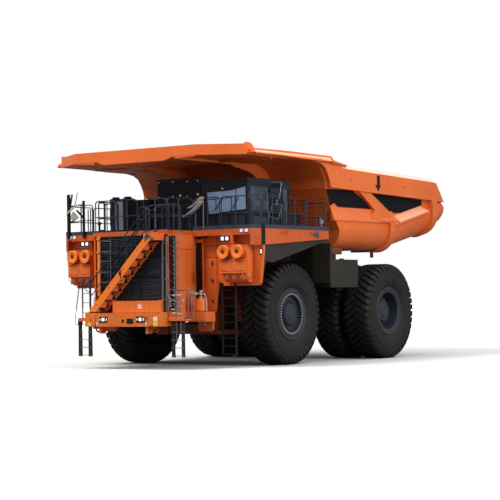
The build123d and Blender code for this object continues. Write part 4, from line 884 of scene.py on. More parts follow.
    # small fittings on the deck's side
    m.box(sg * 4.30, sg * 4.335, -4.75, -4.42, 4.56, 4.63)
    m.box(sg * 4.30, sg * 4.345, -4.46, -4.40, 4.53, 4.66)
    m.m = 1
    m.box(sg * 4.30, sg * 4.345, -2.62, -2.54, 4.50, 4.64)
    m.box(sg * 4.30, sg * 4.345, -2.46, -2.36, 4.46, 4.62)
    m.tube(bend([(sg * 4.32, -2.95, 4.62), (sg * 4.335, -2.75, 4.54), (sg * 4.335, -2.50, 4.47), (sg * 4.32, -2.30, 4.46)], 0.05), 0.014, 8)
    piece(m, f"deck_side_fittings_{side}", [M_ORANGE_PAINTED_SHADE, M_STEEL], bevel=0.003)

# ------------------------------------------------------------------ low platforms, ladders and their guards
ORP = [M_ORANGE, M_GROOVE]
for side, sg in (("left", 1), ("right", -1)):
    m = Mesh()
    m.box(sg * 1.62, sg * 2.30, -7.65, -7.23, 1.64, 1.70)
    m.box(sg * 1.62, sg * 2.30, -7.65, -7.62, 1.70, 1.76)
    m.box(sg * 1.62, sg * 1.685, -7.60, -6.10, 1.64, 1.925)
    m.box(sg * 1.62, sg * 2.47, -6.66, -6.62, 1.59, 1.925)
    m.box(sg * 1.62, sg * 2.47, -6.13, -6.09, 1.59, 1.925)
    m.box(sg * 2.43, sg * 2.47, -6.62, -6.13, 1.59, 1.925)
    m.box(sg * 1.685, sg * 2.43, -6.62, -6.13, 1.88, 1.918)
    m.prism([(sg * 1.88, 1.25), (sg * 2.35, 1.25), (sg * 2.43, 1.33), (sg * 2.43, 1.59), (sg * 1.80, 1.59), (sg * 1.80, 1.33)], "y", -6.17, -6.09)
    m.m = 1
    m.box(sg * 1.70, sg * 2.44, -6.664, -6.658, 1.62, 1.627)
    m.box(sg * 2.05, sg * 2.057, -6.664, -6.658, 1.63, 1.90)
    node = ("boarding_platforms",)
    piece(m, f"low_platform_{side}", ORP, "chassis", bevel=0.005, replaces=node)
    m = Mesh()
    # open grating of the step plate
    for k in range(14):
        m.box(sg * 1.66, sg * 2.28, -7.60 + 0.027 * k, -7.592 + 0.027 * k, 1.70, 1.722)
    for k in range(6):
        x = 1.72 + 0.13 * k
        m.box(sg * x, sg * (x + 0.012), -6.60, -6.15, 1.918, 1.934)
    piece(m, f"low_platform_grating_{side}", M_STEEL_D)

# lower ladders: flexible black belts with thin pale rungs
m = Mesh()
for x0, x1, y, zb, w in ((-2.27, -1.82, -7.56, 0.42, 0.165), (1.80, 2.21, -7.56, 0.42, 0.135)):
    for x in (x0, x1):
        m.box(x - w / 2, x + w / 2, y - 0.017, y + 0.017, zb, 1.70)
        m.box(x - w / 2 - 0.012, x + w / 2 + 0.012, y - 0.030, y + 0.030, 1.52, 1.64)
piece(m, "ladder_belts", M_RUBBER, bevel=0.005)
m = Mesh()
for x0, x1, y, w in ((-2.27, -1.82, -7.56, 0.165), (1.80, 2.21, -7.56, 0.135)):
    for k in range(5):
        z = 0.47 + 0.265 * k
        m.box(x0 - w / 2, x1 + w / 2, y - 0.024, y + 0.024, z - 0.010, z + 0.010)
        m.box(x0 - w / 2, x0 + w / 2, y - 0.028, y + 0.028, z - 0.022, z + 0.022)
        m.box(x1 - w / 2, x1 + w / 2, y - 0.028, y + 0.028, z - 0.022, z + 0.022)
piece(m, "ladder_rungs", M_STEEL, bevel=0.003)
m = Mesh()
# third ladder, behind the left platform, painted a dim brown-black as painted shade, since it stands in the platform's
# shadow
for x in (2.61, 3.17):
    m.box(x - 0.030, x + 0.030, -5.888, -5.834, 0.44, 2.88)
for k in range(9):
    z = 0.47 + 0.27 * k
    m.box(2.63, 3.15, -5.882, -5.838, z - 0.014, z + 0.014)
piece(m, "service_ladder", M_LADDER_SHADE, bevel=0.003)
# upper part of both boarding ladders: stiles, rungs and bent hand holds
m = Mesh()
m.tube(bend([(-2.10, -7.62, 1.72), (-2.10, -7.62, 3.02), (-2.10, -7.50, 3.12)], 0.05), 0.024, 8)
m.tube(bend([(-1.76, -7.62, 1.72), (-1.76, -7.62, 3.02), (-1.76, -7.50, 3.12)], 0.05), 0.030, 8)
for z in (1.95, 2.28, 2.60, 2.90):
    m.tube([(-2.10, -7.62, z), (-1.76, -7.62, z)], 0.012, 6)
m.tube(bend([(-1.66, -7.62, 3.07), (-2.20, -7.62, 3.08), (-2.28, -7.64, 2.6), (-2.43, -7.66, 1.62), (-2.38, -7.66, 1.53), (-2.22, -7.62, 1.54)], 0.08), 0.016, 8)
m.tube(bend([(-1.62, -7.60, 2.55), (-1.95, -7.70, 2.75), (-1.68, -7.74, 3.05), (-1.62, -7.66, 3.30)], 0.06), 0.014, 8)
m.tube(bend([(-2.02, -7.30, 1.70), (-2.02, -7.30, 3.0), (-1.64, -7.30, 3.25)], 0.10), 0.020, 8)
piece(m, "right_ladder_holds", M_STEEL_D)
m = Mesh()
# pale tubular cage by the left ladder
TR = 0.017
m.tube(bend([(1.66, -7.60, 1.72), (1.66, -7.60, 2.68), (2.46, -7.60, 2.68), (2.46, -7.60, 1.74)], 0.07), TR, 8)
m.tube(bend([(2.46, -7.30, 1.74), (2.46, -7.30, 2.66), (1.70, -7.30, 2.66)], 0.07), TR, 8)
m.tube([(2.46, -7.60, 2.20), (2.46, -7.30, 2.20)], 0.012, 6)
m.tube([(1.66, -7.60, 2.22), (2.46, -7.60, 2.22)], 0.012, 6)
m.tube([(1.98, -7.62, 0.9), (1.98, -7.62, 2.68)], TR, 8)
m.tube([(2.16, -7.62, 1.3), (2.16, -7.62, 2.40)], 0.014, 8)
m.tube(bend([(1.76, -7.64, 2.55), (1.76, -7.70, 2.40), (2.05, -7.72, 2.28), (2.20, -7.66, 2.10)], 0.05), 0.012, 8)
piece(m, "left_ladder_cage", M_STEEL)
m = Mesh()
for x, z in ((1.90, 2.50), (2.10, 2.50), (1.86, 2.02), (2.16, 2.12), (1.92, 1.90), (2.12, 1.88)):
    m.box(x - 0.07, x + 0.07, -7.66, -7.60, z - 0.020, z + 0.020)
for x, z in ((1.75, 2.30), (1.75, 2.15), (2.30, 2.32)):
    m.cyl((x, -7.66, z), (x, -7.60, z), 0.022, 10)
piece(m, "left_cage_clamps", M_PALE, bevel=0.004)
# canister, valves and pipes on the left low platform, and a plainer set on the right one
m = Mesh()
m.cyl((2.11, -6.40, 1.925), (2.11, -6.40, 2.36), 0.200, 32, 0.05)
m.cyl((2.11, -6.40, 2.36), (2.11, -6.40, 2.42), 0.08, 16, 0.01)
piece(m, "canister", M_ORANGE_PAINTED_LIT, bevel=0.006, angle=40)
m = Mesh()
m.tube(bend([(2.11, -6.40, 2.40), (2.11, -6.40, 2.54), (1.90, -6.42, 2.54), (1.72, -6.42, 2.48)], 0.05), 0.024, 10)
m.cyl((1.92, -6.50, 2.53), (1.92, -6.36, 2.53), 0.048, 14)
m.cyl((2.11, -6.40, 2.42), (2.11, -6.40, 2.64), 0.034, 12)
m.cyl((2.11, -6.40, 2.60), (2.11, -6.40, 2.64), 0.065, 14)
m.tube(bend([(2.11, -6.44, 2.50), (2.30, -6.44, 2.54), (2.34, -6.42, 2.36), (2.36, -6.42, 1.95)], 0.05), 0.014, 8)
m.tube([(1.75, -6.46, 1.93), (1.75, -6.46, 2.62)], 0.018, 8)
m.box(1.70, 1.80, -6.50, -6.42, 2.56, 2.62)
m.cyl((2.10, -6.185, 1.50), (2.10, -6.165, 1.50), 0.05, 16)
piece(m, "platform_pipework", M_PALE, bevel=0.003)
m = Mesh()
m.tube(bend([(1.68, -6.62, 1.93), (1.68, -6.62, 2.46), (2.43, -6.62, 2.46), (2.43, -6.62, 1.93)], 0.06), 0.013, 8)
m.tube(bend([(-1.68, -6.62, 1.93), (-1.68, -6.62, 2.46), (-2.43, -6.62, 2.46), (-2.43, -6.62, 1.93)], 0.06), 0.013, 8)
piece(m, "platform_guard_tubes", M_STEEL_D)
m = Mesh()
m.box(-2.38, -1.74, -6.58, -6.18, 1.925, 2.34)
m.box(-2.33, -1.79, -6.60, -6.57, 1.96, 2.30)
piece(m, "right_platform_box", M_ORANGE, bevel=0.01)

# ------------------------------------------------------------------ front stairs
ST_LO, ST_HI = (-1.330, 1.930), (1.120, 4.400)
dx, dz = ST_HI[0] - ST_LO[0], ST_HI[1] - ST_LO[1]


def st_at(t, off=0.0):
    return ST_LO[0] + dx * t + off, ST_LO[1] + dz * t


m = Mesh()
m.prism([(-1.60, 1.93), (-1.25, 1.93), (1.20, 4.40), (0.86, 4.40)], "y", -7.962, -7.925)
piece(m, "stair_front_stringer", M_ORANGE_PAINTED_LIT, "chassis", bevel=0.004, replaces=("front_stairs",))
m = Mesh()
m.prism([(-1.66, 1.93), (-1.25, 1.93), (1.20, 4.40), (0.79, 4.40)], "y", -7.640, -7.603)
# saw-tooth tread supports on the rear stringer
for k in range(9):
    cx, cz = st_at((k + 0.55) / 9.0)
    m.prism([(cx + 0.02, cz - 0.02), (cx + 0.30, cz - 0.02), (cx + 0.30, cz + 0.02), (cx + 0.02, cz + 0.02)], "y", -7.70, -7.61)
    m.prism([(cx + 0.02, cz - 0.02), (cx + 0.27, cz - 0.02), (cx + 0.04, cz - 0.25)], "y", -7.668, -7.640)
piece(m, "stair_rear_stringer", M_ORANGE, bevel=0.003)
m = Mesh()
for k in range(9):
    cx, cz = st_at((k + 0.55) / 9.0)
    m.box(cx - 0.13, cx + 0.19, -7.925, -7.640, cz - 0.012, cz + 0.016)
    m.box(cx - 0.13, cx - 0.10, -7.925, -7.640, cz - 0.040, cz + 0.016)
    for j in range(5):
        m.box(cx - 0.10 + 0.055 * j, cx - 0.08 + 0.055 * j, -7.915, -7.65, cz + 0.016, cz + 0.024)
piece(m, "stair_treads", M_STEEL_D)
m = Mesh()
# notch plate, bolts and feet on the bright stringer
m.box(-0.19, -0.09, -7.975, -7.955, 3.22, 3.34)
m.box(-0.13, -0.10, -7.985, -7.97, 3.10, 3.40)
for t in (0.12, 0.35, 0.6, 0.85):
    x, z = st_at(t, -0.16)
    m.cyl((x, -7.962, z), (x, -7.974, z), 0.018, 6)
m.m = 1
m.prism([(-1.50, 1.925), (-1.02, 1.925), (-1.02, 1.965), (-1.46, 1.965)], "y", -7.98, -7.60)
piece(m, "stair_clips", [M_STEEL_D, M_BLACK], bevel=0.003)
m = Mesh()
# landing box at the head of the stairs
m.box(0.88, 1.50, -7.955, -7.925, 4.34, 4.60)
m.box(0.88, 0.92, -7.925, -7.60, 4.34, 4.56)
m.box(1.46, 1.50, -7.925, -7.60, 4.34, 4.56)
m.box(0.92, 1.46, -7.925, -7.60, 4.36, 4.40)
m.box(0.92, 1.46, -7.925, -7.60, 4.54, 4.565)
piece(m, "stair_landing", M_ORANGE, bevel=0.006)
m = Mesh()
for x, z, s in ((1.00, 4.44, 0.05), (1.12, 4.50, 0.03), (1.26, 4.40, 0.04)):
    m.box(x - s, x + s, -7.985, -7.950, z - s, z + s)
m.cyl((1.05, -7.99, 4.56), (1.05, -7.94, 4.56), 0.05, 16)
m.tube(bend([(0.96, -7.97, 4.30), (1.00, -8.0, 4.52), (1.16, -8.0, 4.56), (1.20, -7.97, 4.36)], 0.05), 0.014, 8)
piece(m, "landing_fittings", M_STEEL, bevel=0.004)
m = Mesh()
# the stairs' handrails, front and rear, with their posts
HR = 0.017


def hr(y, lift, t0=0.02, t1=0.98):
    a, b = st_at(t0, -0.17), st_at(t1, -0.17)
    m.tube(bend([(a[0], y, a[1] + 0.16), (a[0], y, a[1] + lift), (b[0], y, b[1] + lift), (b[0] + 0.26, y, b[1] + lift + 0.06), (b[0] + 0.26, y, b[1] + 0.20)], 0.10), HR, 8)
    m.tube([(a[0] + 0.03, y, a[1] + lift * 0.55), (b[0], y, b[1] + lift * 0.55)], HR * 0.8, 8)
    for t in (0.34, 0.67):
        p = st_at(t, -0.17)
        m.tube([(p[0], y, p[1] + 0.15), (p[0], y, p[1] + lift)], HR * 0.9, 8)


hr(-7.945, 1.00)
hr(-7.62, 1.00, 0.10, 0.98)
piece(m, "stair_handrails", M_STEEL_D)

# ------------------------------------------------------------------ handrails round the decks: round tube, rounded corners
RT = 0.018
ZM, ZT = 5.22, 5.775


def rail_frame(mesh, p, q, zt0=ZT, zt1=ZT, zb=4.70, posts=0, mid=True, r=RT, cr=0.13):
    """up from p, along the top and down at q, with a middle tube and posts"""
    p, q = Vector(p), Vector(q)
    a, b = Vector((p.x, p.y, zb)), Vector((q.x, q.y, zb))
    at_, bt = Vector((p.x, p.y, zt0)), Vector((q.x, q.y, zt1))
    mesh.tube(bend([a, at_, bt, b], cr), r, 10)
    if mid:
        k = (ZM - 4.70) / (ZT - 4.70)
        mesh.tube([a.lerp(at_, k), b.lerp(bt, k)], r * 0.85, 8)
    for i in range(posts):
        t = (i + 1) / (posts + 1)
        f = p.lerp(q, t)
        mesh.tube([(f.x, f.y, zb), (f.x, f.y, zt0 + (zt1 - zt0) * t)], r, 8)
    for e in [p, q] + [p.lerp(q, (i + 1) / (posts + 1)) for i in range(posts)]:
        mesh.box(e.x - 0.045, e.x + 0.045, e.y - 0.045, e.y + 0.045, zb - 0.004, zb + 0.012)


m = Mesh()
rail_frame(m, (4.24, -5.80), (4.24, -4.50), 5.80, 5.79, posts=1)
rail_frame(m, (4.24, -4.42), (4.24, -3.12), 5.78, 5.76, posts=1)
rail_frame(m, (4.24, -3.02), (4.24, -1.78), 5.75, 5.70, posts=1)
rail_frame(m, (4.02, -6.11), (4.24, -5.88), 5.80, 5.80, cr=0.08)
rail_frame(m, (2.80, -6.11), (3.95, -6.11), 5.80, 5.80, posts=1)
rail_frame(m, (1.72, -6.11), (2.72, -6.11), 5.80, 5.80, posts=1)
rail_frame(m, (4.16, -1.71), (3.10, -1.71), 5.70, 5.70, posts=0)
rail_frame(m, (3.02, -1.71), (2.12, -1.71), 5.70, 5.70, posts=0)
piece(m, "handrails_left", M_STEEL_D, "chassis", replaces=("handrails",))
m = Mesh()
rail_frame(m, (-4.24, -5.80), (-4.24, -4.50), posts=1)
rail_frame(m, (-4.24, -4.42), (-4.24, -3.12), posts=1)
rail_frame(m, (-4.24, -3.02), (-4.24, -1.78), posts=1)
rail_frame(m, (-4.02, -6.11), (-4.24, -5.88), cr=0.08)
rail_frame(m, (-2.86, -6.11), (-3.95, -6.11), posts=1)
rail_frame(m, (-1.72, -6.11), (-2.30, -6.11), posts=0)
rail_frame(m, (-4.16, -1.71), (-3.10, -1.71), 5.70, 5.70, posts=0)
rail_frame(m, (-3.02, -1.71), (-2.12, -1.71), 5.70, 5.70, posts=0)
piece(m, "handrails_right", M_STEEL_D)
m = Mesh()
# centre deck: rails along the front edge, returns to the rear, the gate and the access hoop
rail_frame(m, (-1.52, -7.55), (-0.66, -7.55), posts=1)
rail_frame(m, (-0.58, -7.55), (0.32, -7.55), posts=1)
rail_frame(m, (0.36, -7.55), (0.80, -7.55), 5.50, 5.50, cr=0.18)
rail_frame(m, (0.56, -7.50), (1.52, -7.50), 5.79, 5.76, posts=1)
rail_frame(m, (-1.57, -7.50), (-1.57, -6.25), posts=1)
rail_frame(m, (1.57, -7.50), (1.57, -6.25), posts=1)
m.tube(bend([(0.83, -7.55, 4.62), (0.83, -7.55, 5.54), (1.90, -7.45, 5.54), (2.04, -7.40, 5.46), (2.04, -7.40, 4.62)], 0.10), RT, 10)
m.tube([(0.83, -7.55, 5.16), (2.04, -7.40, 5.14)], RT * 0.8, 8)
for x in (1.10, 1.36, 1.64, 1.84):
    m.tube([(x, -7.52, 4.66), (x, -7.52, 5.54)], RT * 0.9, 8)
m.tube(bend([(0.98, -7.93, 4.62), (0.98, -7.93, 5.44), (0.98, -7.60, 5.50)], 0.08), RT, 8)
m.tube(bend([(1.36, -7.93, 4.60), (1.36, -7.93, 5.40), (1.36, -7.58, 5.50)], 0.08), RT, 8)
m.tube([(0.98, -7.93, 5.02), (0.98, -7.58, 5.06)], RT * 0.8, 8)
piece(m, "handrails_centre", M_STEEL_D)
m = Mesh()
# gate frame on the right deck and its lamp
m.tube(bend([(-2.30, -6.45, 4.70), (-2.30, -6.45, 5.80), (-2.05, -6.45, 5.80), (-2.05, -6.45, 4.70)], 0.07), 0.024, 10)
m.tube([(-2.30, -6.45, 5.24), (-2.05, -6.45, 5.24)], 0.018, 8)
for x in (-3.08, -2.97):
    m.tube([(x, -6.11, 4.70), (x, -6.11, 5.62)], 0.020, 8)
m.box(-2.38, -2.24, -6.30, -6.16, 4.70, 4.86)
m.tube(bend([(-1.93, -6.10, 5.86), (-1.99, -6.10, 5.3), (-1.90, -6.10, 4.72)], 0.3), 0.022, 8)
piece(m, "gate_frame", M_STEEL_D, bevel=0.0)
m = Mesh()
m.box(-2.48, -2.40, -6.32, -6.29, 4.92, 5.00)
m.m = 1
m.box(-2.46, -2.42, -6.32, -6.29, 5.00, 5.035)
m.m = 2
m.box(-2.49, -2.37, -6.30, -6.22, 5.04, 5.14)
m.box(-2.46, -2.40, -6.28, -6.24, 4.70, 5.04)
piece(m, "gate_lamp", [M_LENS, M_RED, M_BLACK], bevel=0.006)

# ------------------------------------------------------------------ mirrors and posts
m = Mesh()
m.box(-3.975, -3.865, -6.235, -6.175, 4.58, 6.185)
m.box(-3.865, -3.845, -6.235, -6.175, 4.6, 6.10)
piece(m, "mirror_post_outer", M_BLACK, "chassis", bevel=0.008, replaces=("mirrors",))
m = Mesh()
m.cyl((-3.17, -6.25, 4.58), (-3.17, -6.25, 5.90), 0.048, 16, 0.01)
m.dome((-3.17, -6.25, 5.89), (0, 0, 1), 0.055, 0.05, 16, 5)
m.beam((-3.51, -6.23, 5.60), (-3.19, -6.25, 5.32), 0.06, 0.05)
m.beam((-3.74, -6.21, 6.18), (-3.84, -6.22, 5.66), 0.045, 0.045)
m.beam((-3.95, -6.21, 6.17), (-3.70, -6.21, 6.17), 0.02, 0.02)
m.box(-3.98, -3.94, -6.22, -6.19, 5.10, 5.16)
m.beam((-3.86, -6.21, 5.16), (-3.20, -6.24, 5.16), 0.025, 0.03)
piece(m, "mirror_arms_right", M_BLACK, bevel=0.004)
m = Mesh()
# tilted mirror, seen half from its edge
m.prism([(-3.78, 5.34), (-3.63, 5.56), (-3.37, 5.33), (-3.64, 5.22)], "y", -6.31, -6.27)
m.m = 1
m.prism([(-3.76, 5.34), (-3.63, 5.54), (-3.39, 5.33), (-3.64, 5.24)], "y", -6.318, -6.308)
m.m = 2
for p, q in (((-3.98, 5.47), (-3.69, 5.68)), ((-3.69, 5.68), (-3.48, 5.78)), ((-3.48, 5.78), (-3.18, 5.82))):
    m.beam((p[0], -6.25, p[1]), (q[0], -6.25, q[1]), 0.045, 0.05)
piece(m, "mirror_right", [M_BLACK, M_CREAM, M_PALE], bevel=0.005)
m = Mesh()
m.tube(bend([(-3.72, -6.24, 5.66), (-3.57, -6.24, 5.83), (-3.46, -6.24, 6.24)], 0.05), 0.013, 8)
piece(m, "aerial", M_STEEL_D)
m = Mesh()
# large mirrors by the cab: dark glass, pale edges
MU = [(3.75, 6.31), (4.19, 6.30), (4.07, 5.74), (3.655, 5.72)]
ML = [(3.80, 5.58), (4.20, 5.515), (4.03, 5.04), (3.655, 5.15)]
for q in (MU, ML):
    m.prism(q, "y", -4.484, -4.442)
piece(m, "cab_mirror_backs", M_BLACK, bevel=0.010)
m = Mesh()
for q in (MU, ML):
    cx, cz = sum(p[0] for p in q) / 4, sum(p[1] for p in q) / 4
    m.prism([(cx + (p[0] - cx) * 0.93, cz + (p[1] - cz) * 0.93) for p in q], "y", -4.490, -4.483)
piece(m, "cab_mirror_glass", M_MIRROR, bevel=0.002)
m = Mesh()
for q, es in ((MU, (0, 1)), (ML, (0, 1, 2, 3))):
    for e in es:
        a, b = q[e], q[(e + 1) % 4]
        m.tube([(a[0], -4.484, a[1]), (b[0], -4.484, b[1])], 0.010, 8)
piece(m, "cab_mirror_frames", M_PALE)
m = Mesh()
m.tube([(3.62, -4.465, 6.01), (3.76, -4.465, 6.01)], 0.020, 10)
m.tube(bend([(3.62, -4.465, 5.36), (3.87, -4.465, 5.36), (3.87, -4.465, 5.90)], 0.06), 0.017, 10)
m.box(3.84, 3.90, -4.480, -4.440, 5.52, 5.78)
piece(m, "cab_mirror_arms", M_BLACK)
m = Mesh()
# pair of bowed mirrors in front of the cabinet, on their post
for c, s in (((1.72, -6.28, 5.36), 1.0), ((1.86, -6.30, 5.58), 0.72)):
    c = Vector(c)
    n = 9
    for k in range(n):
        t0, t1 = (k / n - 0.5) * 2, ((k + 1) / n - 0.5) * 2
        p0 = c + Vector((0.36 * s * t0, 0.02, 0.24 * s * t0 + 0.06 * (t0 * t0)))
        p1 = c + Vector((0.36 * s * t1, 0.02, 0.24 * s * t1 + 0.06 * (t1 * t1)))
        m.slab((p0 + p1) / 2, (p1 - p0) * 0.52, Vector((0, 0.12, 0)), Vector((-0.006, 0, 0.011)))
piece(m, "bowed_mirrors", M_PALE)
m = Mesh()
m.tube(bend([(2.08, -6.16, 4.72), (2.08, -6.16, 5.74), (1.86, -6.24, 5.80), (1.60, -6.26, 5.46)], 0.12), 0.024, 10)
m.tube(bend([(1.74, -6.16, 4.72), (1.74, -6.16, 5.28), (1.74, -6.26, 5.34)], 0.05), 0.018, 8)
m.tube(bend([(0.92, -6.0, 5.78), (1.36, -6.05, 5.90), (1.62, -6.14, 5.72), (1.70, -6.20, 5.50)], 0.16), 0.014, 8)
piece(m, "bowed_mirror_arms", M_STEEL)

# ------------------------------------------------------------------ cab: screen, frames, panels, door, wipers
m = Mesh()
# windscreen pane: pale blue as a painted sky reflection
m.prism([(1.95, 6.00), (2.97, 6.03), (3.57, 6.14), (3.56, 5.37), (2.62, 5.31), (2.02, 5.255)], "y", -5.742, -5.728)
piece(m, "windscreen", M_SCREEN)
m = Mesh()
# surround, posts, slanted visor line, lower panels
m.prism([(1.70, 6.02), (1.95, 6.00), (2.97, 6.03), (3.57, 6.14), (3.65, 6.15), (3.65, 6.40), (1.70, 6.40)], "y", -5.760, -5.72)
m.prism([(1.70, 4.70), (1.86, 4.70), (1.90, 5.24), (2.02, 5.255), (1.95, 6.00), (1.70, 6.02)], "y", -5.752, -5.72)
m.box(3.56, 3.63, -5.752, -5.72, 4.70, 6.20)
m.prism([(1.90, 5.24), (2.62, 5.31), (3.57, 5.37), (3.57, 5.29), (2.62, 5.25), (1.90, 5.19)], "y", -5.756, -5.72)
for x in (2.32, 2.98, 3.16):
    m.box(x - 0.014, x + 0.014, -5.754, -5.74, 5.31, 6.06 if x > 3.1 else 5.80)
m.prism([(1.98, 5.74), (2.95, 5.77), (2.95, 5.80), (1.98, 5.77)], "y", -5.752, -5.738)
piece(m, "cab_front_frame", M_CAB, bevel=0.005)
m = Mesh()
for x0, x1 in ((1.74, 2.26), (2.34, 2.82), (2.88, 3.53)):
    m.box(x0, x1, -5.742, -5.72, 4.80, 5.17)
piece(m, "cab_lower_panels", M_SLATE, bevel=0.012)
m = Mesh()
for x0, x1, s in ((1.80, 2.18, 0.05), (2.40, 2.68, 0.04)):
    m.tube(bend([(x0 + 0.05, -5.75, 5.02), (x0 + 0.12, -5.755, 5.09), (x1 - 0.08, -5.755, 5.08), (x1, -5.75, 5.13)], 0.05), 0.009, 6)
m.tube(bend([(2.10, -5.76, 5.28), (2.30, -5.775, 5.42), (2.56, -5.765, 5.70)], 0.08), 0.009, 6)
m.tube(bend([(2.90, -5.76, 5.28), (3.02, -5.775, 5.42), (3.22, -5.765, 5.72)], 0.08), 0.009, 6)
m.slab((2.50, -5.762, 5.60), (0.14, 0, 0.19), (0, 0.005, 0), (0.006, 0, -0.004))
m.slab((3.18, -5.762, 5.62), (0.10, 0, 0.20), (0, 0.005, 0), (0.006, 0, -0.004))
piece(m, "wipers", M_BLACK)
m = Mesh()
# window seals and pillars on the cab's left side
X = 3.63
for y0, y1, z0, z1 in ((-5.57, -4.40, 5.33, 6.17), (-4.20, -3.76, 5.42, 6.11), (-3.57, -3.22, 5.45, 6.15)):
    for a, b, c, d in ((y0 - 0.03, y1 + 0.03, z1 - 0.004, z1 + 0.03), (y0 - 0.03, y1 + 0.03, z0 - 0.03, z0 + 0.004), (y0 - 0.03, y0 + 0.004, z0, z1), (y1 - 0.004, y1 + 0.03, z0, z1)):
        m.box(X - 0.004, X + 0.012, a, b, c, d)
piece(m, "cab_left_seals", M_RUBBER)
m = Mesh()
for x in (3.63,):
    m.tube(bend([(x - 0.01, -4.62, 5.00), (x + 0.07, -4.62, 5.00), (x + 0.07, -4.62, 6.0), (x - 0.01, -4.62, 6.0)], 0.05), 0.014, 8)
    m.tube(bend([(x - 0.01, -3.50, 4.92), (x + 0.07, -3.50, 4.92), (x + 0.07, -3.50, 5.7), (x - 0.01, -3.50, 5.7)], 0.05), 0.014, 8)
m.tube(bend([(3.62, -5.66, 4.90), (3.67, -5.70, 4.90), (3.67, -5.70, 5.95), (3.62, -5.66, 5.95)], 0.05), 0.012, 8)
piece(m, "cab_grab_rails", M_STEEL)
m = Mesh()
m.box(3.629, 3.642, -5.60, -4.36, 4.76, 5.24)
m.box(3.629, 3.642, -3.58, -3.18, 4.76, 5.36)
m.m = 1
m.box(3.642, 3.650, -5.45, -4.50, 4.84, 5.14)
piece(m, "cab_side_panels", [M_CAB, M_SLATE], bevel=0.006)
m = Mesh()
m.box(3.630, 3.644, -4.27, -3.73, 4.86, 5.34)
m.box(3.635, 3.675, -4.26, -4.06, 5.20, 5.28)
piece(m, "door_skin", M_CAB, "door", bevel=0.006)
m = Mesh()
m.tube(bend([(3.63, -3.80, 5.05), (3.70, -3.80, 5.05), (3.70, -3.80, 5.60), (3.63, -3.80, 5.60)], 0.04), 0.012, 8)
m.box(3.64, 3.66, -4.24, -4.08, 5.22, 5.26)
for z in (4.95, 5.5, 6.05):
    m.cyl((3.656, -3.67, z - 0.03), (3.656, -3.67, z + 0.03), 0.0195, 12)
piece(m, "door_hardware", M_STEEL, "door")
m = Mesh()
# roof: drip rail, air conditioner, beacon, small lamps
m.box(1.70, 3.66, -5.80, -5.775, 6.35, 6.42)
m.box(2.10, 3.20, -4.70, -3.50, 6.41, 6.44)
m.box(1.70, 1.72, -5.70, -3.10, 6.41, 6.44)
m.box(3.63, 3.65, -5.70, -3.10, 6.41, 6.44)
piece(m, "cab_roof_fittings", M_CAB, bevel=0.012)
m = Mesh()
m.cyl((2.62, -5.79, 6.10), (2.62, -5.76, 6.10), 0.03, 12)
piece(m, "cab_front_lamp", M_AMBER)
m = Mesh()
# seat, second seat, dash and steering wheel


def cushion(mesh, x0, x1, y0, y1, z0, z1, k=6, crown=0.03):
    """soft block with a crowned top and sides that pull in"""
    vs, fs = [], []
    nx, ny = k, k
    for lay in range(4):
        t = lay / 3
        z = z0 + (z1 - z0) * t
        s = 1.0 - 0.06 * (1 - math.sin(math.pi * t))
        for j in range(ny + 1):
            for i in range(nx + 1):
                u, w = i / nx * 2 - 1, j / ny * 2 - 1
                uu, ww = u * s, w * s
                r = crown * (1 - u * u) * (1 - w * w) * (1 if lay == 3 else (-0.3 if lay == 0 else 0))
                vs.append(((x0 + x1) / 2 + uu * (x1 - x0) / 2, (y0 + y1) / 2 + ww * (y1 - y0) / 2, z + r))
    w = (nx + 1) * (ny + 1)

    def id_(lay, i, j):
        return lay * w + j * (nx + 1) + i
    for j in range(ny):
        for i in range(nx):
            fs.append((id_(0, i, j), id_(0, i, j + 1), id_(0, i + 1, j + 1), id_(0, i + 1, j)))
            fs.append((id_(3, i, j), id_(3, i + 1, j), id_(3, i + 1, j + 1), id_(3, i, j + 1)))
    for lay in range(3):
        for i in range(nx):
            fs.append((id_(lay, i, 0), id_(lay, i + 1, 0), id_(lay + 1, i + 1, 0), id_(lay + 1, i, 0)))
            fs.append((id_(lay, i + 1, ny), id_(lay, i, ny), id_(lay + 1, i, ny), id_(lay + 1, i + 1, ny)))
        for j in range(ny):
            fs.append((id_(lay, 0, j + 1), id_(lay, 0, j), id_(lay + 1, 0, j), id_(lay + 1, 0, j + 1)))
            fs.append((id_(lay, nx, j), id_(lay, nx, j + 1), id_(lay + 1, nx, j + 1), id_(lay + 1, nx, j)))
    mesh.add(vs, fs)


def add_seat(name, cx, y0, y1, zs, zb, w):
    s = Mesh()
    cushion(s, cx - w / 2, cx + w / 2, y0, y1, zs - 0.14, zs)
    # back: a stack of padded channels
    for k in range(4):
        a = zs + 0.02 + (zb - zs - 0.02) * k / 4
        b = zs + 0.02 + (zb - zs - 0.02) * (k + 1) / 4
        cushion(s, cx - w / 2 + 0.01, cx + w / 2 - 0.01, y1 - 0.13 + 0.015 * k, y1 + 0.015 * k, a, b, 5, 0.015)
    o = piece(s, name, M_SEAT, "chassis", angle=60, replaces=("cab_interior",))
    sub = o.modifiers.new("sub", "SUBSURF")
    sub.levels = sub.render_levels = 1
    return o


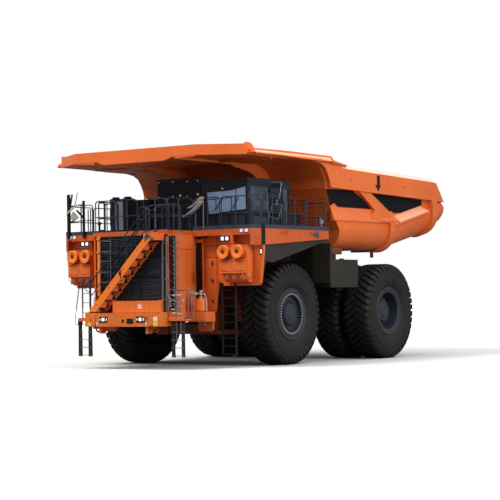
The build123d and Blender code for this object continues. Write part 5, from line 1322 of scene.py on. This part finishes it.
add_seat("driver_seat", 2.65, -4.65, -4.10, 5.33, 5.98, 0.52)
add_seat("second_seat", 2.10, -4.50, -4.02, 5.25, 5.80, 0.40)
m = Mesh()
m.prism([(-5.60, 4.79), (-5.25, 4.79), (-5.22, 5.20), (-5.30, 5.29), (-5.60, 5.27)], "x", 1.83, 3.39)
m.box(2.40, 2.90, -5.42, -5.28, 5.27, 5.34)
m.box(2.50, 2.80, -4.56, -4.20, 4.79, 5.19)
m.box(1.97, 2.23, -4.40, -4.12, 4.79, 5.11)
m.box(2.98, 3.12, -4.70, -4.20, 5.22, 5.30)
m.m = 1
m.tube([(2.65, -5.33, 5.20), (2.65, -4.97, 5.41)], 0.035, 12)
d = Vector((0, -0.38, 0.22)).normalized()
u = Vector((1, 0, 0))
w = d.cross(u)
circ = [Vector((2.65, -4.965, 5.417)) + (u * math.cos(t) + w * math.sin(t)) * 0.21 for t in [2 * math.pi * k / 24 for k in range(25)]]
m.tube(circ, 0.016, 8, cap=False)
for t in (0.5, 2.64, 4.71):
    m.tube([Vector((2.65, -4.965, 5.417)), Vector((2.65, -4.965, 5.417)) + (u * math.cos(t) + w * math.sin(t)) * 0.21], 0.012, 6)
piece(m, "dash_and_wheel", [M_DASH, M_RUBBER], "chassis", bevel=0.01)
m = Mesh()
m.box(1.80, 3.41, -5.64, -3.20, 4.781, 4.790)
piece(m, "cab_floor_mat", M_RUBBER)

# ------------------------------------------------------------------ deck cabinets: seams, bolts, lamps, doors
m = Mesh()
for x in (0.42, 1.06):
    m.box(x - 0.006, x + 0.006, -5.768, -5.758, 4.72, 6.50)
m.box(-0.17, 1.64, -5.768, -5.758, 5.60, 5.612)
m.m = 1
m.box(-0.17, 0.40, -5.772, -5.758, 4.76, 5.56)
m.box(0.44, 1.04, -5.772, -5.758, 4.76, 5.56)
m.box(1.08, 1.64, -5.772, -5.758, 4.76, 5.56)
m.box(-0.20, 1.67, -5.78, -5.70, 6.50, 6.545)
m.box(-0.15, 1.62, -5.769, -5.758, 5.66, 6.46)
for k in range(9):
    m.slab((0.125, -5.776, 4.86 + 0.075 * k), (0.22, 0, 0), (0, 0.010, 0.010), (0, -0.002, 0.002))
piece(m, "cabinet_doors", [M_GROOVE, M_BLACK], bevel=0.004)
m = Mesh()
for x, z in ((0.50, 6.44), (1.13, 6.42), (0.49, 5.93), (1.11, 5.90), (1.13, 4.99), (-0.12, 6.44), (1.58, 6.43), (-0.12, 5.92)):
    m.cyl((x, -5.768, z), (x, -5.784, z), 0.028, 8)
piece(m, "cabinet_bolts", M_WHITE)
m = Mesh()
for x, z in ((0.82, 5.95), (1.58, 5.96)):
    m.cyl((x, -5.768, z), (x, -5.80, z), 0.042, 16, 0.01)
piece(m, "cabinet_amber_lamps", M_AMBER, angle=50)
m = Mesh()
for x in (0.34, 0.98, 1.14):
    m.tube(bend([(x, -5.76, 5.05), (x, -5.81, 5.05), (x, -5.81, 5.25), (x, -5.76, 5.25)], 0.03), 0.010, 8)
for k in range(6):
    m.box(1.10 + 0.08 * k, 1.14 + 0.08 * k, -5.79, -5.772, 4.80, 5.52)
piece(m, "cabinet_handles", M_STEEL_D)
m = Mesh()
# rear low cabinet and the one behind the cab: lids, vents, latches
m.box(-0.08, 1.56, -4.58, -3.48, 5.88, 5.915)
for k in range(7):
    m.slab((-0.066, -4.03, 5.0 + 0.10 * k), (0, 0.38, 0), (0.012, 0, 0.010), (0.003, 0, -0.003))
m.box(2.28, 3.37, -2.92, -1.98, 5.245, 5.27)
for k in range(6):
    m.slab((3.355, -2.45, 4.84 + 0.06 * k), (0, 0.36, 0), (0.010, 0, 0.008), (0.002, 0, -0.003))
piece(m, "rear_cabinet_lids", M_BLACK, bevel=0.005)

# ------------------------------------------------------------------ air cleaners and the cabinets beside them
m = Mesh()
for x in (-2.48, -1.93):
    m.lathe((x, -5.26, 5.02), (0, 0, 1), [(0, 0.21), (0, 0.228), (0.05, 0.228), (0.05, 0.21)], 36)
    m.lathe((x, -5.26, 5.62), (0, 0, 1), [(0, 0.21), (0, 0.228), (0.05, 0.228), (0.05, 0.21)], 36)
    m.lathe((x, -5.26, 5.90), (0, 0, 1), [(0, 0.0), (0, 0.235), (0.06, 0.235), (0.10, 0.20), (0.12, 0.0)], 36)
    for k in range(16):
        t = 2 * math.pi * k / 16
        m.box(x + 0.218 * math.cos(t) - 0.008, x + 0.218 * math.cos(t) + 0.008, -5.26 + 0.218 * math.sin(t) - 0.008, -5.26 + 0.218 * math.sin(t) + 0.008, 5.07, 5.62)
m.cyl((-2.205, -5.22, 4.80), (-2.205, -5.22, 5.88), 0.11, 20, 0.02)
piece(m, "air_cleaner_bands", M_SLATE, angle=40)
m = Mesh()
m.box(-2.30, -1.95, -5.525, -5.50, 4.86, 5.34)
m.box(-2.30, -1.95, -5.525, -5.50, 5.37, 5.88)
m.box(-2.26, -1.99, -5.51, -5.43, 4.90, 5.84)
piece(m, "air_cleaner_pale_cover", plain("grey_cover", (0.62, 0.63, 0.70), 0.45, 0.0, 30.0, 0.15, 0.1, 0.001), bevel=0.006)
m = Mesh()
m.box(-1.575, -0.685, -5.575, -5.555, 4.74, 5.90)
for x in (-1.27, -0.98):
    m.box(x - 0.006, x + 0.006, -5.585, -5.57, 4.78, 5.86)
for k in range(5):
    m.slab((-1.13, -5.585, 4.95 + 0.09 * k), (0.11, 0, 0), (0, 0.010, 0.010), (0, -0.003, 0.003))
m.tube(bend([(-1.74, -5.35, 5.0), (-1.74, -5.35, 5.80), (-1.66, -5.35, 5.86)], 0.05), 0.05, 12)
m.tube(bend([(-0.60, -5.5, 4.72), (-0.60, -5.5, 5.62), (-0.30, -5.5, 5.70)], 0.10), 0.035, 12)
m.tube(bend([(-0.45, -5.6, 4.72), (-0.45, -5.6, 5.40), (-0.25, -5.6, 5.48)], 0.08), 0.022, 10)
piece(m, "cleaner_cabinet_front", M_BLACK, bevel=0.004)
m = Mesh()
m.box(-1.92, -1.70, -5.10, -4.95, 5.42, 5.82)
m.cyl((-1.80, -5.12, 5.62), (-1.80, -4.9, 5.62), 0.10, 18, 0.01)
piece(m, "exhaust_patch", plain("rust_brown", (0.12, 0.045, 0.028), 0.6, 0.2, 30.0, 0.3, 0.3, 0.002), bevel=0.005)

# ------------------------------------------------------------------ tanks: straps, seams, caps, brackets
for side, sg in (("left", 1), ("right", -1)):
    m = Mesh()
    m.box(sg * 4.048, sg * 4.055, -1.20, -0.97, 2.86, 2.885)
    m.box(sg * 4.048, sg * 4.055, -1.20, -0.97, 4.245, 4.27)
    m.box(sg * 3.898, sg * 3.904, -0.94, 0.99, 2.69, 2.71)
    m.box(sg * 3.898, sg * 3.904, -0.94, 0.99, 3.685, 3.705)
    for y in (-0.40, 0.45):
        m.box(sg * 3.898, sg * 3.903, y, y + 0.012, 2.71, 3.69)
    m.m = 1
    m.cyl((sg * 3.4, 0.65, 3.70), (sg * 3.4, 0.65, 3.76), 0.09, 20, 0.01)
    m.cyl((sg * 4.05, -1.09, 3.95), (sg * 4.066, -1.09, 3.95), 0.04, 16)
    piece(m, f"tank_fittings_{side}", [M_TANK, M_STEEL_D], bevel=0.003)

# ------------------------------------------------------------------ bed: blank panels, arrow, rails, ribs, painted highlights
XP = 4.060
P1 = [(-1.42, 6.215), (0.38, 6.245), (2.03, 5.595), (-0.62, 5.595), (-0.89, 5.73), (-1.16, 5.62)]
P2 = [(1.76, 6.20), (5.63, 6.095), (5.66, 5.89), (3.93, 5.52), (3.23, 5.50)]
for side, sg in (("left", 1), ("right", -1)):
    m = Mesh()
    m.prism(P1, "x", sg * XP, sg * (XP + 0.010))
    m.prism(P2, "x", sg * XP, sg * (XP + 0.010))
    piece(m, f"bed_dark_panels_{side}", M_PANEL, "bed", bevel=0.002)
    m = Mesh()
    xr = 4.250
    m.prism([(1.88, 6.86), (2.10, 6.86), (2.10, 6.49), (2.19, 6.49), (1.97, 6.25), (1.75, 6.49), (1.88, 6.49)], "x", sg * xr, sg * (xr + 0.005))
    piece(m, f"bed_arrow_{side}", M_BLACK, "bed")
    # black discs stand for the holes in the rail: painted shade inside them
    m = Mesh()
    for y, z in ((-0.02, 6.59), (3.99, 6.51)):
        m.cyl((sg * (xr - 0.002), y, z), (sg * (xr + 0.004), y, z), 0.035, 14)
    piece(m, f"bed_rail_holes_painted_shade_{side}", M_GROOVE, "bed")
    m = Mesh()
    # painted highlight: pale sheets on the sloping cap of the top rail, on the ledges and on the canopy's side bevel,
    # standing in for the light these faces catch
    def skin(mesh, quad, t=0.004):
        """thin sheet just above a flat quad whose corners run the same way round for either side"""
        q = [Vector((sg * p[0], p[1], p[2])) for p in quad]
        nrm = (q[1] - q[0]).cross(q[2] - q[0]).normalized()
        if nrm.z < 0:
            nrm = -nrm
        lo = [tuple(p - nrm * 0.02) for p in q]
        hi = [tuple(p + nrm * t) for p in q]
        fs = [(3, 2, 1, 0), (4, 5, 6, 7), (0, 1, 5, 4), (1, 2, 6, 5), (2, 3, 7, 6), (3, 0, 4, 7)]
        if (q[1] - q[0]).cross(q[2] - q[0]).z < 0:
            fs = [tuple(reversed(f)) for f in fs]
        mesh.add(lo + hi, fs)
    skin(m, [(4.249, -0.54, 6.986), (4.249, 6.36, 6.803), (4.132, 6.36, 6.945), (4.132, -0.54, 7.128)])
    piece(m, f"bed_rail_cap_{side}", M_RAIL_CAP_HIGHLIGHT, "bed", bevel=0.002)
    m = Mesh()
    skin(m, [(4.06, 3.21, 5.345), (4.28, 3.21, 5.075), (4.28, 5.86, 5.645), (4.06, 5.54, 5.846)])
    skin(m, [(4.375, -6.27, 7.1974), (4.375, -1.50, 7.1974), (4.292, -1.50, 7.309), (4.292, -6.27, 7.309)], 0.003)
    piece(m, f"bed_ledges_painted_highlight_{side}", M_LEDGE_HIGHLIGHT, "bed")
    m = Mesh()
    # edge flats along the rail's lower edge
    m.prism([(-1.36, 6.30), (7.14, 6.10), (7.165, 6.062), (-1.36, 6.264)], "x", sg * 4.20, sg * 4.256)
    piece(m, f"bed_rail_edges_{side}", M_ORANGE, "bed", bevel=0.003)
    m = Mesh()
    # seams of the rail plates
    for y in (-0.75, 2.75, 5.1):
        m.box(sg * 4.249, sg * 4.2515, y - 0.003, y + 0.003, 6.312 - 0.0236 * (y + 1.38), 6.97 - 0.0268 * (y + 0.54))
    piece(m, f"bed_seams_{side}", M_ORANGE, "bed")
m = Mesh()
# weld lines across the front wall, seen under the canopy
for z, y in ((6.65, -1.553), (6.23, -1.424), (5.86, -1.268), (5.60, -1.157), (5.36, -1.07)):
    m.tube([(-3.92, y - 0.002, z), (3.92, y - 0.002, z)], 0.011, 6)
piece(m, "bed_front_welds", M_ORANGE_PAINTED_SHADE, "bed")
m = Mesh()
# plate strips down the lower front wall
for x in (-2.6, -1.3, 0.0, 1.3, 2.6):
    m.beam((x, -0.985, 5.06), (x, -0.725, 4.72), 0.10, 0.05, (1, 0, 0))
    m.beam((x, -0.72, 4.74), (x, -0.56, 4.16), 0.10, 0.05, (1, 0, 0))
piece(m, "bed_lower_wall_ribs", M_ORANGE, "bed", bevel=0.006)
m = Mesh()
# weld lines under the canopy plate
for y in (-6.30, -5.45, -3.70, -2.9):
    m.tube([(-3.86, y, 7.161), (3.86, y, 7.161)], 0.010, 6)
for x in (-3.1, 3.1):
    m.tube([(x, -6.9, 7.161), (x, -2.6, 7.161)], 0.010, 6)
piece(m, "canopy_welds", M_ORANGE_PAINTED_SHADE, "bed")
m = Mesh()
# lip's stiffened foot and end plates
for sg in (1, -1):
    m.prism([(sg * 1.75, 7.165), (sg * 2.60, 7.165), (sg * 2.60, 7.12), (sg * 1.75, 7.09)], "y", -7.31, -7.24)
piece(m, "canopy_lip_foot", M_ORANGE, "bed", bevel=0.004)
m = Mesh()
# hinge straps of the bed sills and hose run on the frame
for sg in (1, -1):
    m.lathe((sg * 0.955, 4.0, 3.35), (sg, 0, 0), [(0, 0.0), (0, 0.13), (0.02, 0.13), (0.035, 0.10), (0.035, 0.0)], 28)
    m.hexes((sg * 0.975, 4.0, 3.35), (sg, 0, 0), 0.09, 6, 0.014, 0.016)
    m.tube(bend([(sg * 0.93, -0.2, 2.60), (sg * 0.95, 0.6, 2.72), (sg * 0.95, 1.8, 2.85), (sg * 0.93, 2.6, 3.05), (sg * 0.93, 3.2, 3.10)], 0.25), 0.022, 8)
    m.tube(bend([(sg * 0.93, -0.2, 2.68), (sg * 0.96, 0.6, 2.80), (sg * 0.96, 1.8, 2.93), (sg * 0.93, 2.6, 3.13), (sg * 0.93, 3.2, 3.17)], 0.25), 0.018, 8)
piece(m, "frame_pins_and_lines", M_CYL, angle=40)
m = Mesh()
# work lamp and small fittings by the left rear deck post
m.box(4.17, 4.23, -2.14, -2.08, 4.72, 5.16)
m.lathe((4.20, -2.03, 5.02), (1, -0.4, 0), [(0, 0.0), (0, 0.085), (0.03, 0.10), (0.05, 0.095), (0.05, 0.075), (0.035, 0.07), (0.03, 0.0)], 24)
m.box(4.16, 4.25, -2.12, -1.99, 4.82, 4.90)
m.box(4.17, 4.235, -2.13, -2.02, 5.13, 5.20)
m.tube([(4.20, -2.05, 4.74), (4.20, -2.05, 4.84)], 0.018, 8)
piece(m, "work_lamp_rear", M_STEEL, bevel=0.004)

# engine bay, axle and suspension details that show from below
m = Mesh()
m.hexes((0, AXR - 0.70, WR), (0, -1, 0), 0.42, 20, 0.025, 0.03)
for sg in (1, -1):
    m.lathe((sg * 1.50, AXR, WR), (sg, 0, 0), [(0, 0.60), (0.0, 0.68), (0.05, 0.68), (0.05, 0.60)], 40)
    m.hexes((sg * 1.55, AXR, WR), (sg, 0, 0), 0.645, 24, 0.018, 0.02)
    m.lathe((sg * 1.12, 3.70, 2.0), (0, 0, 1), [(0, 0.14), (0, 0.17), (0.08, 0.17), (0.08, 0.14)], 28)
    m.lathe((sg * 1.12, 3.70, 2.55), (0, 0, 1), [(0, 0.14), (0, 0.17), (0.08, 0.17), (0.08, 0.14)], 28)
    m.lathe((sg * 2.25, -3.0, 2.55), (0, 0, 1), [(0, 0.18), (0, 0.21), (0.10, 0.21), (0.10, 0.18)], 28)
    m.lathe((sg * 2.25, -3.0, 3.1), (0, 0, 1), [(0, 0.18), (0, 0.21), (0.10, 0.21), (0.10, 0.18)], 28)
piece(m, "axle_and_strut_bands", M_FRAME, angle=40)
m = Mesh()
# engine: covers, manifold and fan shroud as seen from below and behind the radiator
m.box(-0.56, 0.56, -6.10, -5.60, 3.0, 4.0)
m.box(-0.56, 0.56, -5.20, -4.70, 3.0, 4.0)
for k in range(6):
    m.cyl((0.54, -6.3 + 0.5 * k, 3.85), (0.62, -6.3 + 0.5 * k, 3.85), 0.10, 18, 0.01)
    m.cyl((-0.54, -6.3 + 0.5 * k, 3.85), (-0.62, -6.3 + 0.5 * k, 3.85), 0.10, 18, 0.01)
m.lathe((0, -7.14, 3.45), (0, 1, 0), [(0, 0.72), (0, 0.90), (0.28, 0.90), (0.28, 0.86), (0.04, 0.84)], 40)
for k in range(8):
    t = 2 * math.pi * k / 8
    d = Vector((math.cos(t), 0, math.sin(t)))
    s = Vector((-math.sin(t), 0.35, math.cos(t))).normalized()
    c = Vector((0, -6.98, 3.45)) + d * 0.46
    m.slab(c, d * 0.32, s * 0.11, d.cross(s) * 0.008)
m.cyl((0, -7.08, 3.45), (0, -6.88, 3.45), 0.16, 24, 0.01)
piece(m, "engine_covers_and_fan", M_IRON, bevel=0.006)

# ------------------------------------------------------------------ floor, lights, camera
me = bpy.data.meshes.new("floor")
S = 220.0
me.from_pydata([(-S, -S, 0), (S, -S, 0), (S, S, 0), (-S, S, 0)], [], [(0, 1, 2, 3)])
floor = bpy.data.objects.new("floor", me)
bpy.context.scene.collection.objects.link(floor)
fm, fnt, fb = mat("floor_pale")
fn = noise(fnt, coords(fnt), 0.4, 2.0, 0.5)
seen = fnt.nodes.new("ShaderNodeLightPath").outputs["Is Camera Ray"]
pale = mix(fnt, remap(fnt, fn, 0.3, 0.7, 0.0, 1.0), (0.66, 0.66, 0.66), (0.69, 0.69, 0.69))
fnt.links.new(mix(fnt, seen, (0.16, 0.15, 0.145), pale), fb.inputs["Base Color"])
fb.inputs["Roughness"].default_value = 0.95
fb.inputs["Emission Color"].default_value = (1.0, 0.98, 0.96, 1)
far = fnt.nodes.new("ShaderNodeVectorMath")
far.operation = "LENGTH"
fnt.links.new(coords(fnt), far.inputs[0])
fnt.links.new(math_node(fnt, "MULTIPLY", seen, remap(fnt, far.outputs["Value"], 14.0, 60.0, 0.0, 1.1)), fb.inputs["Emission Strength"])
fb.inputs["Specular IOR Level"].default_value = 0.0
me.materials.append(fm)

world = bpy.data.worlds.new("studio")
bpy.context.scene.world = world
world.use_nodes = True
wn = world.node_tree
bg = wn.nodes["Background"]
# soft sky, brighter overhead; the camera sees a plain pale backdrop
tc = wn.nodes.new("ShaderNodeTexCoord")
sp = wn.nodes.new("ShaderNodeSeparateXYZ")
wn.links.new(tc.outputs["Generated"], sp.inputs[0])
sky = ramp(wn, remap(wn, sp.outputs["Z"], -0.1, 1.0, 0.0, 1.0), [(0.0, (0.20, 0.20, 0.21)), (0.12, (0.30, 0.31, 0.33)), (0.5, (0.52, 0.55, 0.60)), (1.0, (0.85, 0.90, 1.0))])
back = mix(wn, wn.nodes.new("ShaderNodeLightPath").outputs["Is Camera Ray"], sky, (1.0, 1.0, 1.0))
wn.links.new(back, bg.inputs["Color"])
bg.inputs["Strength"].default_value = 1.0


def area(name, loc, target, size, power, col=(1, 1, 1)):
    li = bpy.data.lights.new(name, "AREA")
    li.shape = "RECTANGLE"
    li.size, li.size_y = size
    li.energy = power
    li.color = col
    o = bpy.data.objects.new(name, li)
    bpy.context.scene.collection.objects.link(o)
    o.location = loc
    d = Vector(target) - Vector(loc)
    o.rotation_euler = d.to_track_quat("-Z", "Y").to_euler()
    return o


area("key", (-7, -21, 34), (0, -3, 3.5), (14, 12), 14500, (1.0, 0.93, 0.82))
area("side", (30, -10, 20), (2, 0, 4), (12, 10), 4700, (1.0, 0.94, 0.90))
area("low", (30, -2, 5), (2, 1, 2.6), (12, 5), 1900, (1.0, 0.95, 0.92))
area("top", (2, 6, 32), (0, 0, 3), (22, 22), 5200, (1.0, 0.97, 0.95))

cam_d = bpy.data.cameras.new("photo_camera")
cam_d.sensor_fit = "HORIZONTAL"
cam_d.sensor_width = 36.0
cam_d.lens = 1630.36 / 500.0 * 36.0
cam_d.clip_end = 600.0
cam = bpy.data.objects.new("photo_camera", cam_d)
bpy.context.scene.collection.objects.link(cam)
ya, pi_, ro = math.radians(34.640), math.radians(1.5617), math.radians(-0.8928)
fwd = Vector((-math.sin(ya) * math.cos(pi_), math.cos(ya) * math.cos(pi_), math.sin(pi_)))
right = Vector((math.cos(ya), math.sin(ya), 0))
upv = right.cross(fwd)
rt = right * math.cos(ro) + upv * math.sin(ro)
uu = -right * math.sin(ro) + upv * math.cos(ro)
cam.matrix_world = Matrix(((rt.x, uu.x, -fwd.x, 34.9166), (rt.y, uu.y, -fwd.y, -50.5430), (rt.z, uu.z, -fwd.z, 2.4811), (0, 0, 0, 1)))
bpy.context.scene.camera = cam
bpy.context.scene.view_settings.view_transform = "Standard"
bpy.context.scene.view_settings.look = "None"
